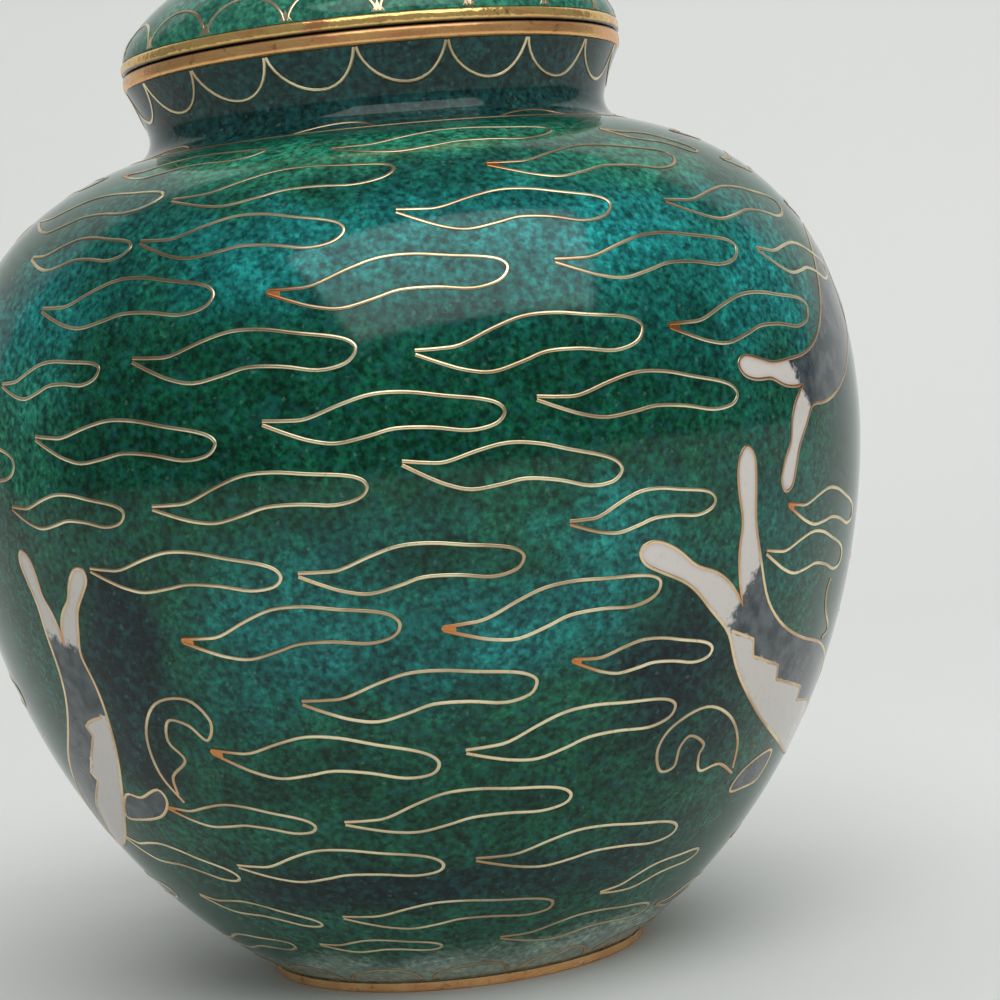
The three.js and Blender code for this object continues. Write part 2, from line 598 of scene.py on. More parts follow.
@dataclass(frozen=True)
class SpeckledEnamel(Finish):
    """Ground-glass enamel, fused and polished: grains of several greens under one gloss.

    Crumbs, broad clouds and single grains shade the colour about 1, and stains lie over it.
    """

    base: Tint = Tint.GREEN
    washed: bool = False
    contrast: float = 1.0
    gloss: float = 0.10
    ior: float = 1.36
    grain: float = 0.34 * MM
    grain_shades: Range = (0.74, 1.26)
    crumbs: Blots = Blots(0.70 * MM, 2.5, 0.36, 0.70, 0.50, 1.95)
    broad: Blots = Blots(3.4 * MM, 3.0, 0.36, 0.64, 0.70, 1.26)
    cool: Blots = Blots(1.12 * MM, 2.0, 0.52, 0.68, 0.0, 0.36, (1.03, 0.97, 1.01))
    cool_stain: Colour = (0.012, 0.120, 0.125)
    dark: Blots = Blots(1.26 * MM, 3.0, 0.54, 0.68, 0.0, 0.40, (0.96, 1.04, 1.02))
    dark_stain: Colour = (0.005, 0.022, 0.020)
    pale_grains: tuple[float, ...] = (0.975, 1.0, 0.0, 0.22)
    pale: Colour = (0.16, 0.30, 0.24)
    swell_size: float = 7 * MM
    swell: Range = (0.25, 0.10 * MM)
    pit_share: float = 0.035
    pits: Range = (0.25, 0.04 * MM)

    def spread(self, *shades: float) -> list[float]:
        """Shades about 1, spread by the contrast."""
        return [1 + self.contrast * (shade - 1) for shade in shades]

    def speckle(self, nodes: ShadeNodes, blots: Blots) -> Socket:
        """Blots that shade the colour, spread by the contrast."""
        least, most = self.spread(blots.least, blots.most)
        return nodes.blots(replace(blots, least=least, most=most))

    def looks(self, nodes: ShadeNodes) -> dict[str, object]:
        """Speckles the colour, and gives the gloss a soft swell and small pits.

        Args:
            nodes: the material's nodes.

        Returns:
            The values and patterns for the shader's inputs, by name.
        """
        wash = nodes.attribute("wash", "Color") if self.washed else (*self.base.value, 1.0)
        fine = nodes.grains(self.grain)
        clouds = (self.speckle(nodes, blots) for blots in (self.crumbs, self.broad))
        grains = nodes.span(nodes.part(fine, 0), 0, 1, *self.spread(*self.grain_shades))
        level = nodes.maths("MULTIPLY", nodes.maths("MULTIPLY", *clouds), grains)
        grey = nodes.add("ShaderNodeCombineColor", {0: level, 1: level, 2: level}).outputs[0]
        colour = nodes.mix(1.0, wash, grey, "MULTIPLY")
        for blots, stain in ((self.cool, self.cool_stain), (self.dark, self.dark_stain)):
            colour = nodes.mix(nodes.blots(blots), colour, stain)
        colour = nodes.mix(nodes.span(nodes.part(fine, 2), *self.pale_grains), colour, self.pale)
        if self.washed:
            colour = nodes.mix(nodes.attribute("wash", "Alpha"), wash, colour)
        swell = nodes.bump(nodes.clouds(self.swell_size, 1.0), *self.swell)
        pits = nodes.span(nodes.part(fine, 1), 0.0, self.pit_share)
        return {"Base Color": colour, "Roughness": self.gloss, "IOR": self.ior,
                "Normal": nodes.bump(pits, *self.pits, swell)}


@dataclass(frozen=True)
class FishEnamel(Finish):
    """The fish's milk-white enamel, shaded to slate grey where the piece says so."""

    white: Colour = (0.64, 0.60, 0.56)
    slate: Colour = (0.026, 0.040, 0.046)
    ash: Colour = (0.100, 0.116, 0.124)
    blush: Colour = (0.47, 0.32, 0.27)
    fleck: Colour = (0.46, 0.43, 0.41)
    ashes: Blots = Blots(1.9 * MM, 4.0, 0.38, 0.64)
    flecks: Blots = Blots(0.7 * MM, 2.0, 0.55, 0.8, 0.0, 0.35)
    fray: Blots = Blots(0.9 * MM, 2.0, 0.3, 0.7, -0.22, 0.22)
    border: Range = (0.35, 0.65)
    blushing: tuple[float, ...] = (0.35, 1.0, 0.0, 0.55)
    gloss: float = 0.12
    ior: float = 1.44
    swell_size: float = 3 * MM
    swell: Range = (0.2, 0.05 * MM)

    def looks(self, nodes: ShadeNodes) -> dict[str, object]:
        """White that blushes beside the wires, with a frayed border to the grey.

        Args:
            nodes: the material's nodes.

        Returns:
            The values and patterns for the shader's inputs, by name.
        """
        grey = nodes.maths("ADD", nodes.attribute("grey"), nodes.blots(self.fray))
        slate = nodes.mix(nodes.blots(self.ashes), self.slate, self.ash)
        edge = nodes.span(nodes.attribute("edge"), *self.blushing)
        white = nodes.mix(edge, self.white, self.blush)
        white = nodes.mix(nodes.blots(self.flecks), white, self.fleck)
        return {"Base Color": nodes.mix(nodes.span(grey, *self.border), white, slate),
                "Roughness": self.gloss, "IOR": self.ior,
                "Normal": nodes.bump(nodes.clouds(self.swell_size, 1.0), *self.swell)}


@dataclass(frozen=True)
class InlayWire(Finish):
    """Polished gilded wire with painted shade along its sides for the groove beside it, coppery
    where solder ran.
    """

    gold: Colour = (0.96, 0.84, 0.54)
    brown: Colour = (0.46, 0.33, 0.19)
    copper: Colour = (0.66, 0.27, 0.095)
    # Painted shade: the colour of the wire's sides, standing in for the shaded groove where wire
    # meets enamel.
    dark: Colour = (0.018, 0.020, 0.012)
    worn: Blots = Blots(11 * MM, 3.0, 0.44, 0.60, 0.0, 0.85)
    flecks: Blots = Blots(0.5 * MM, 2.0, 0.60, 0.75, 0.0, 0.5)
    flank: Range = (0.30, 0.75)
    roughness: float = 0.30

    def looks(self, nodes: ShadeNodes) -> dict[str, object]:
        """Gold worn to brown, tinged with copper, and dark at its sides as painted shade of the
        groove.

        Args:
            nodes: the material's nodes.

        Returns:
            The values and patterns for the shader's inputs, by name.
        """
        colour = nodes.mix(nodes.blots(self.worn), self.gold, self.brown)
        colour = nodes.mix(nodes.blots(self.flecks), colour, self.brown)
        colour = nodes.mix(nodes.attribute("solder"), colour, self.copper)
        # Painted shade: the wire's marked sides take the dark colour and lose their metal.
        flank = nodes.span(nodes.attribute("flank"), *self.flank)
        return {"Base Color": nodes.mix(flank, colour, self.dark),
                "Metallic": nodes.maths("SUBTRACT", 1.0, flank), "Roughness": self.roughness}


@dataclass(frozen=True)
class WornGilding(Finish):
    """A gilded copper band: brushed round its length, rubbed to copper and dulled in places."""

    gold: Colour = (0.97, 0.63, 0.22)
    rubbed: Colour = (0.84, 0.40, 0.16)
    soot: Colour = (0.16, 0.085, 0.045)
    # The colour of painted shade in the gap at the joint between jar and lid.
    joint_shade_colour: Colour = (0.012, 0.006, 0.004)
    rub: float = 0.5
    rub_reach: float = 0.35
    roughness: float = 0.26
    smoother: float = 0.04
    rougher: float = 0.05
    metallic: float = 0.80
    lumps: float = 0.10 * MM
    lump_size: float = 1.3 * MM
    lump_strength: float = 0.6
    brush_size: float = 5 * MM
    brush_stretch: Stretch = (1, 1, 9)
    brush_contrast: Range = (0.3, 0.7)
    brushing: Range = (0.10, 0.03 * MM)
    wear: Blots = Blots(4 * MM, 3.0, 0.62, 0.70, stretch=(1, 1, 2))
    sooty: Blots = Blots(1.0 * MM, 3.0, 0.62, 0.74, 0.0, 0.6)

    def looks(self, nodes: ShadeNodes) -> dict[str, object]:
        """Gold rubbed to copper, sooty in spots, and dark beside a joint as painted shade of the
        gap.

        Args:
            nodes: the material's nodes.

        Returns:
            The values and patterns for the shader's inputs, by name.
        """
        brushed = nodes.clouds(self.brush_size, 3.0, self.brush_stretch)
        wear = replace(self.wear, low=self.wear.low - self.rub_reach * self.rub)
        colour = nodes.mix(nodes.blots(wear), self.gold, self.rubbed)
        colour = nodes.mix(nodes.blots(self.sooty), colour, self.soot)
        # Painted shade: beside the joint the band goes dark and unmetallic, standing in for shade
        # in the gap between the bands.
        joint_shade_mask = nodes.attribute("joint_shade_mask")
        polish = (self.roughness - self.smoother, self.roughness + self.rougher)
        lines = nodes.bump(brushed, *self.brushing)
        lumps = nodes.clouds(self.lump_size, 2.0)
        return {"Base Color": nodes.mix(joint_shade_mask, colour, self.joint_shade_colour),
                "Metallic": nodes.span(joint_shade_mask, 0, 1, self.metallic, 0.0),
                "Roughness": nodes.span(brushed, *self.brush_contrast, *polish),
                "Normal": nodes.bump(lumps, self.lump_strength, self.lumps, lines)}


@dataclass(frozen=True)
class PaleBoard(Finish):
    """The matt pale sheet that the jar stands on."""

    colour: Colour = (0.76, 0.77, 0.75)
    shade: float = 0.97
    tone: Blots = Blots(0.35, 2.0, 0.3, 0.7)
    roughness: float = 0.9

    def looks(self, nodes: ShadeNodes) -> dict[str, object]:
        """One pale colour with hardly any cloud.

        Args:
            nodes: the material's nodes.

        Returns:
            The values and patterns for the shader's inputs, by name.
        """
        shaded = tuple(self.shade * channel for channel in self.colour)
        colour = nodes.mix(nodes.blots(self.tone), self.colour, shaded)
        return {"Base Color": colour, "Roughness": self.roughness}


def empty_tree(name: str, inputs: dict[str, str]) -> tuple[Tree, FieldNodes, dict]:
    """A new shape tree.

    Args:
        name: the tree's name.
        inputs: each input's name and kind.

    Returns:
        The tree, its node helper and the group input's sockets by name.
    """
    tree = bpy.data.node_groups.new(name, "GeometryNodeTree")
    for label, kind in {"Geometry": "Geometry", **inputs}.items():
        tree.interface.new_socket(name=label, in_out="INPUT", socket_type="NodeSocket" + kind)
    tree.interface.new_socket(name="Geometry", in_out="OUTPUT", socket_type="NodeSocketGeometry")
    nodes = FieldNodes(tree)
    return tree, nodes, nodes.add("NodeGroupInput").outputs


def close_tree(nodes: FieldNodes, shape: Socket, finish: Socket) -> None:
    """Ends a tree in Realize Instances and Set Material.

    Args:
        nodes: the tree being built.
        shape: what it has made.
        finish: the material.
    """
    real = nodes.add("GeometryNodeRealizeInstances", {"Geometry": shape}).outputs[0]
    dressed = nodes.add("GeometryNodeSetMaterial", {"Geometry": real, "Material": finish})
    nodes.add("NodeGroupOutput", {"Geometry": dressed.outputs[0]})


def turning_tree() -> Tree:
    """Turns a section, given as points in order, right round the jar's axis.

    Returns:
        The tree.
    """
    tree, nodes, given = empty_tree("Turned piece", {
        "Around": "Int", "Crease": "Float", "Finish": "Material",
    })
    count = nodes.add("GeometryNodeAttributeDomainSize", {"Geometry": given["Geometry"]},
                      component="MESH").outputs["Point Count"]
    sheet = nodes.add("GeometryNodeMeshGrid", {
        "Size X": 1.0, "Size Y": 1.0,
        "Vertices X": nodes.maths("ADD", given["Around"], 1.0), "Vertices Y": count,
    }).outputs["Mesh"]
    number = nodes.add("GeometryNodeInputIndex").outputs[0]
    column = nodes.maths("FLOOR", nodes.maths("DIVIDE", nodes.maths("ADD", number, 0.5), count))
    row = nodes.maths("SUBTRACT", number, nodes.maths("MULTIPLY", column, count))
    point = nodes.add("GeometryNodeSampleIndex", {
        "Geometry": given["Geometry"], "Index": row,
        "Value": nodes.add("GeometryNodeInputPosition").outputs[0],
    }, data_type="FLOAT_VECTOR", domain="POINT").outputs[0]
    angle = nodes.maths("DIVIDE", nodes.maths("MULTIPLY", column, math.tau), given["Around"])
    turned = nodes.add("ShaderNodeVectorRotate", {
        "Vector": point, "Axis": (0, 0, 1), "Angle": angle,
    }, rotation_type="AXIS_ANGLE").outputs[0]
    shape = nodes.add("GeometryNodeSetPosition", {"Geometry": sheet, "Position": turned}).outputs[0]
    shape = nodes.add("GeometryNodeMergeByDistance",
                      {"Geometry": shape, "Distance": MERGED}).outputs[0]
    shape = nodes.add("GeometryNodeSetShadeSmooth",
                      {"Geometry": shape, "Shade Smooth": True}, domain="FACE").outputs[0]
    sharp = nodes.add("FunctionNodeCompare", {
        0: nodes.add("GeometryNodeInputMeshEdgeAngle").outputs[0], 1: given["Crease"],
    }, operation="GREATER_THAN").outputs[0]
    shape = nodes.add("GeometryNodeSetShadeSmooth",
                      {"Geometry": shape, "Selection": sharp, "Shade Smooth": False},
                      domain="EDGE").outputs[0]
    close_tree(nodes, shape, given["Finish"])
    return tree


def inlay_tree() -> Tree:
    """Lays drawn lines on a turned surface as wires let into it.

    The drawing's x is a turn in radians, its y a climb and its z a lift. The guide is the
    surface's outline as a curve in the XZ plane.

    Returns:
        The tree.
    """
    tree, nodes, given = empty_tree("Wire inlay", {
        "Guide": "Object", "Width": "Float", "Proud": "Float", "Sunk": "Float",
        "Finish": "Material",
    })
    lines = nodes.add("GeometryNodeMeshToCurve", {"Mesh": given["Geometry"]}).outputs[0]
    drawn = nodes.add("GeometryNodeInputPosition").outputs[0]
    turn, climb, lift = nodes.add("ShaderNodeSeparateXYZ", {0: drawn}).outputs
    guide = nodes.add("GeometryNodeObjectInfo", {"Object": given["Guide"]}).outputs["Geometry"]
    sample = nodes.add("GeometryNodeSampleCurve", {"Curves": guide, "Length": climb},
                       mode="LENGTH").outputs
    along = nodes.add("ShaderNodeSeparateXYZ", {0: sample["Tangent"]}).outputs
    outward = nodes.vector(along[2], 0.0, nodes.maths("MULTIPLY", along[0], -1.0))
    lifted = nodes.add("ShaderNodeVectorMath", {0: outward, 1: sample["Position"]},
                       operation="MULTIPLY_ADD")
    nodes.feed(lifted.inputs[1], nodes.vector(lift, lift, lift))
    nodes.feed(lifted.inputs[2], sample["Position"])
    angle = nodes.maths("SUBTRACT", turn, math.pi / 2)
    placed, normal = (
        nodes.add("ShaderNodeVectorRotate", {"Vector": vector, "Axis": (0, 0, 1), "Angle": angle},
                  rotation_type="AXIS_ANGLE").outputs[0]
        for vector in (lifted.outputs[0], outward)
    )
    lines = nodes.add("GeometryNodeSetCurveNormal", {"Curve": lines, "Normal": normal},
                      mode="FREE").outputs[0]
    lines = nodes.add("GeometryNodeSetPosition", {"Geometry": lines, "Position": placed}).outputs[0]
    close_tree(nodes, wire_sweep(nodes, lines, given), given["Finish"])
    return tree


def wire_sweep(nodes: FieldNodes, lines: Socket, given: dict) -> Socket:
    """Sweeps a wire's flat-topped section along lines.

    Args:
        nodes: the tree being built.
        lines: the lines as curves with outward normals.
        given: the group input's sockets.

    Returns:
        The wires' mesh.
    """
    ring = nodes.add("GeometryNodeCurvePrimitiveCircle",
                     {"Resolution": WIRE_SIDES, "Radius": 1.0}).outputs[0]
    x, y, _ = nodes.add("ShaderNodeSeparateXYZ", {
        0: nodes.add("GeometryNodeInputPosition").outputs[0],
    }).outputs
    # Marks the section's sides and underside for painted shade of the groove beside the wire.
    ring = nodes.add("GeometryNodeStoreNamedAttribute", {
        "Geometry": ring, "Name": "flank", "Value": nodes.maths("LESS_THAN", x, SHADED_FLANK_BELOW),
    }, data_type="FLOAT", domain="POINT").outputs[0]
    crown = nodes.maths("MINIMUM", nodes.maths("MULTIPLY", x, CROWN_FLATNESS), 1.0)
    rise = nodes.maths("MULTIPLY", crown, given["Proud"])
    fall = nodes.maths("MULTIPLY", nodes.maths("MINIMUM", x, 0.0), given["Sunk"])
    height = nodes.maths("ADD", nodes.maths("MAXIMUM", rise, 0.0), fall)
    spread = nodes.maths("POWER", nodes.maths("ABSOLUTE", y), SIDE_SQUARENESS)
    half = nodes.maths("MULTIPLY", given["Width"], 0.5)
    side = nodes.maths("MULTIPLY", nodes.maths("MULTIPLY", spread, nodes.maths("SIGN", y)), half)
    ring = nodes.add("GeometryNodeSetPosition",
                     {"Geometry": ring, "Position": nodes.vector(height, side)}).outputs[0]
    wires = nodes.add("GeometryNodeCurveToMesh",
                      {"Curve": lines, "Profile Curve": ring, "Fill Caps": True}).outputs[0]
    return nodes.add("GeometryNodeSetShadeSmooth",
                     {"Geometry": wires, "Shade Smooth": True}, domain="FACE").outputs[0]


def link(name: str, data: bpy.types.ID) -> Piece:
    """Puts a new object at the origin of the scene.

    Args:
        name: the object's name.
        data: its mesh, curve or light.

    Returns:
        The object.
    """
    piece = bpy.data.objects.new(name, data)
    bpy.context.scene.collection.objects.link(piece)
    return piece


def grow(name: str, mesh: bpy.types.Mesh, tree: Tree,
         values: dict[str, object]) -> Piece:
    """Runs a shape tree on a mesh and keeps the result as a plain mesh.

    Args:
        name: the piece's name.
        mesh: what the tree starts from.
        tree: the shape tree.
        values: the tree's inputs by name.

    Returns:
        The piece, without the modifier.
    """
    piece = link(name, mesh)
    modifier = piece.modifiers.new("grow", "NODES")
    modifier.node_group = tree
    for item in tree.interface.items_tree:
        if item.in_out == "INPUT" and item.name in values:
            modifier[item.identifier] = values[item.name]
    graph = bpy.context.evaluated_depsgraph_get()
    made = bpy.data.meshes.new_from_object(
        piece.evaluated_get(graph), preserve_all_data_layers=True, depsgraph=graph
    )
    piece.modifiers.remove(modifier)
    piece.data = made
    made.name = name
    return piece


def hand_over(piece: Piece, slot: str, *nodes: str) -> Piece:
    """Makes a piece part of the jar, and logs it.

    Args:
        piece: the piece.
        slot: its material slot; not used.
        nodes: the solids that it stands for.

    Returns:
        The piece.
    """
    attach(piece, BODY)
    if nodes:
        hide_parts(*nodes)
    log.info("%s: %d faces", piece.name, len(piece.data.polygons))
    return piece


@dataclass(frozen=True)
class Turner:
    """Turns sections into round pieces."""

    tree: Tree
    around: int = 300
    crease: float = math.radians(40)

    def turn(self, name: str, section: np.ndarray, finish: Material) -> Piece:
        """Makes one round piece.

        Args:
            name: the piece's name.
            section: points of radius and height, going up on the outside.
            finish: its material.

        Returns:
            The piece.
        """
        mesh = bpy.data.meshes.new(name + "_section")
        mesh.from_pydata([(r, 0.0, z) for r, z in section], [], [])
        return grow(name, mesh, self.tree, {
            "Around": self.around, "Crease": self.crease, "Finish": finish,
        })


@dataclass
class Stroke:
    """One wire as drawn: its points on the surface, and how coppery each is."""

    points: np.ndarray
    solder: np.ndarray
    closed: bool = False


@dataclass(frozen=True)
class Placement:
    """Where a motif lies on the jar: its own origin, and the way its x axis points."""

    outline: Outline
    turn: float
    climb: float
    heading: float = 0.0
    mirrored: bool = False

    def lay(self, points: np.ndarray) -> np.ndarray:
        """Lays flat motif points on the jar, each turn by its own radius.

        Args:
            points: the flat points.

        Returns:
            Their turns and climbs.
        """
        x, y = points[:, 0], (-1 if self.mirrored else 1) * points[:, 1]
        across = x * math.cos(self.heading) - y * math.sin(self.heading)
        upwards = x * math.sin(self.heading) + y * math.cos(self.heading)
        climb = self.climb + upwards
        radius = self.outline.at(climb)[0]
        return np.column_stack([self.turn + across / radius, climb])


def drawn_line(placed: np.ndarray, closed: bool = False,
               solder: np.ndarray | None = None) -> Stroke:
    """A stroke from placed points, with no solder unless it is given."""
    return Stroke(placed, np.zeros(len(placed)) if solder is None else solder, closed)


@dataclass
class WireDrawing:
    """Wires gathered for one surface, and the way to lay them into it."""

    name: str
    outline: Outline
    tree: Tree
    width: float = 0.42 * MM
    proud: float = 0.075 * MM
    sunk: float = 0.25 * MM
    recess: float = 0.08 * MM
    strokes: list[Stroke] = field(default_factory=list)

    def guide(self) -> Piece:
        """The outline as a curve object for the tree to follow.

        Returns:
            The curve object.
        """
        curve = bpy.data.curves.new(self.name + "_guide", "CURVE")
        curve.dimensions = "3D"
        line = curve.splines.new("POLY")
        line.points.add(len(self.outline.points) - 1)
        for point, (radius, height) in zip(line.points, self.outline.points):
            point.co = (radius, 0.0, height, 1.0)
        return link(self.name + "_guide", curve)

    def build(self, finish: Material) -> Piece:
        """Makes the wires.

        Args:
            finish: the wires' material.

        Returns:
            One piece with every wire of the drawing.
        """
        corners, edges, solder = [], [], []
        for stroke in self.strokes:
            first, count = len(corners), len(stroke.points)
            corners += [(turn, climb, -self.recess) for turn, climb in stroke.points]
            edges += [(first + i, first + i + 1) for i in range(count - 1)]
            edges += [(first + count - 1, first)] if stroke.closed else []
            solder += list(stroke.solder)
        mesh = bpy.data.meshes.new(self.name + "_drawing")
        mesh.from_pydata(corners, edges, [])
        mesh.attributes.new("solder", "FLOAT", "POINT").data.foreach_set("value", solder)
        guide = self.guide()
        piece = grow(self.name, mesh, self.tree, {
            "Guide": guide, "Width": self.width, "Proud": self.proud, "Sunk": self.sunk,
            "Finish": finish,
        })
        bpy.data.objects.remove(guide)
        return piece


def inside(points: np.ndarray, ring: np.ndarray) -> np.ndarray:
    """Finds the points that lie inside a closed ring.

    Args:
        points: the points.
        ring: the ring's points in order.

    Returns:
        Whether each point lies inside.
    """
    x, y = points[:, 0][:, None], points[:, 1][:, None]
    a, b = ring, np.roll(ring, -1, axis=0)
    crosses = (a[:, 1] > y) != (b[:, 1] > y)
    with np.errstate(divide="ignore", invalid="ignore"):
        where = (b[:, 0] - a[:, 0]) * (y - a[:, 1]) / (b[:, 1] - a[:, 1]) + a[:, 0]
    return (crosses & (x < where)).sum(axis=1) % 2 == 1


@dataclass
class Cell:
    """One field of enamel between wires: its flat outline, and how it is laid."""

    ring: np.ndarray
    placement: Placement

    FAR_OFF = 9.0
    SNAP = 1e-5

    def filled(self, pitch: float) -> tuple[np.ndarray, list[tuple[int, int, int]]]:
        """Fills the outline with small triangles.

        Args:
            pitch: the distance between the points inside.

        Returns:
            The flat points and the triangles between them.
        """
        low, high = self.ring.min(axis=0), self.ring.max(axis=0)
        xs, ys = (np.arange(low[i] + pitch / 2, high[i], pitch) for i in (0, 1))
        grid = np.array([(x, y) for x in xs for y in ys])
        grid = grid[inside(grid, self.ring)] if len(grid) else grid.reshape(0, 2)
        gaps = np.linalg.norm(grid[:, None] - self.ring[None], axis=2)
        grid = grid[gaps.min(axis=1, initial=self.FAR_OFF) > pitch / 2]
        spots = np.vstack([self.ring, grid]) / MM
        loop = list(range(len(self.ring)))
        made = geometry.delaunay_2d_cdt([Vector(s) for s in spots], [], [loop], 1, self.SNAP)
        flat = np.array([(v.x, v.y) for v in made[0]]) * MM
        return flat, [tuple(face) for face in made[2]]


class CellBuilder:
    """Gathers enamel fields into one closed, thin piece."""

    EDGE_WIDTH = 0.9 * MM

    def __init__(self, name: str, top: float, bottom: float) -> None:
        """Starts empty.

        Args:
            name: the piece's name.
            top: the lift of its face off the outline.
            bottom: the lift of its back.
        """
        self.name, self.top, self.bottom = name, top, bottom
        self.corners: list[Vector] = []
        self.faces: list[tuple[int, ...]] = []
        self.values: dict[str, list[float]] = {"grey": [], "edge": [], "solder": [], "flank": []}

    def add(self, cell: Cell, pitch: float, grey: Shading | None = None,
            solder: float = 0.0) -> None:
        """Adds one field.

        Args:
            cell: the field.
            pitch: the distance between the points inside it.
            grey: a function of its flat points that gives how grey each is.
            solder: how coppery it is.
        """
        flat, faces = cell.filled(pitch)
        placed = cell.placement.lay(flat)
        outline, first, count = cell.placement.outline, len(self.corners), len(flat)
        for lift in (self.top, self.bottom):
            self.corners += [outline.place(turn, climb, lift) for turn, climb in placed]
        gap = np.linalg.norm(flat[:, None] - cell.ring[None], axis=2).min(axis=1)
        shades = np.zeros(count) if grey is None else grey(flat)
        self.values["grey"] += list(shades) * 2
        self.values["edge"] += list(np.clip(1 - gap / self.EDGE_WIDTH, 0, 1)) * 2
        self.values["solder"] += [solder] * 2 * count
        self.values["flank"] += [0.0] * 2 * count
        flipped = self.faces_look_in(faces[0], first)
        faces = [tuple(reversed(face)) if flipped else face for face in faces]
        edges = {(a, b) for face in faces for a, b in zip(face, face[1:] + face[:1])}
        self.faces += [tuple(first + i for i in face) for face in faces]
        self.faces += [tuple(first + count + i for i in reversed(face)) for face in faces]
        self.faces += [
            (first + b, first + a, first + count + a, first + count + b)
            for a, b in sorted(edges) if (b, a) not in edges
        ]

    def faces_look_in(self, face: tuple[int, ...], first: int) -> bool:
        """Whether a face's corners run the wrong way round for the surface."""
        a, b, c = (self.corners[first + i] for i in face[:3])
        return (b - a).cross(c - a).dot(Vector((a.x, a.y, 0))) < 0

    def build(self, finish: Material) -> Piece:
        """Makes the piece.

        Args:
            finish: its material.

        Returns:
            The piece.
        """
        mesh = bpy.data.meshes.new(self.name)
        mesh.from_pydata([tuple(corner) for corner in self.corners], [], self.faces)
        for name, values in self.values.items():
            mesh.attributes.new(name, "FLOAT", "POINT").data.foreach_set("value", values)
        mesh.materials.append(finish)
        return link(self.name, mesh)


@dataclass(frozen=True)
class RippleShape:
    """The form of one ripple, as shares of its own length from its tip to its round end."""

    UPPER = [(0.0, 0.008), (0.10, 0.005), (0.19, 0.012), (0.33, 0.070), (0.46, 0.110),
             (0.60, 0.112), (0.75, 0.088), (0.90, 0.066), (0.975, 0.040), (1.0, 0.0)]
    LOWER = [(0.0, -0.009), (0.10, -0.050), (0.20, -0.084), (0.31, -0.100), (0.44, -0.074),
             (0.55, -0.047), (0.70, -0.050), (0.85, -0.070), (0.96, -0.048), (1.0, 0.0)]
    STEPS = 4

    def loop(self, length: float, high: float = 1.0, low: float = 1.0) -> np.ndarray:
        """The whole wire from the tip over the upper side, round the end and back below.

        Args:
            length: the ripple's length.
            high: makes its upper side swell more or less.
            low: makes its lower side swell more or less.

        Returns:
            An array of flat points.
        """
        upper = [(x, y * high) for x, y in self.UPPER]
        lower = [(x, y * low) for x, y in self.LOWER[-2::-1]]
        return through(upper + lower, self.STEPS) * length


@dataclass(frozen=True)
class Ripple:
    """One ripple: where it lies, its length, and whether solder fills its tip."""

    place: Placement
    length: float
    copper: bool

    def middle(self) -> Spot:
        """The turn and climb of its middle."""
        turn, climb = self.place.lay(np.array([[self.length / 2, 0.0]]))[0]
        return float(turn), float(climb)


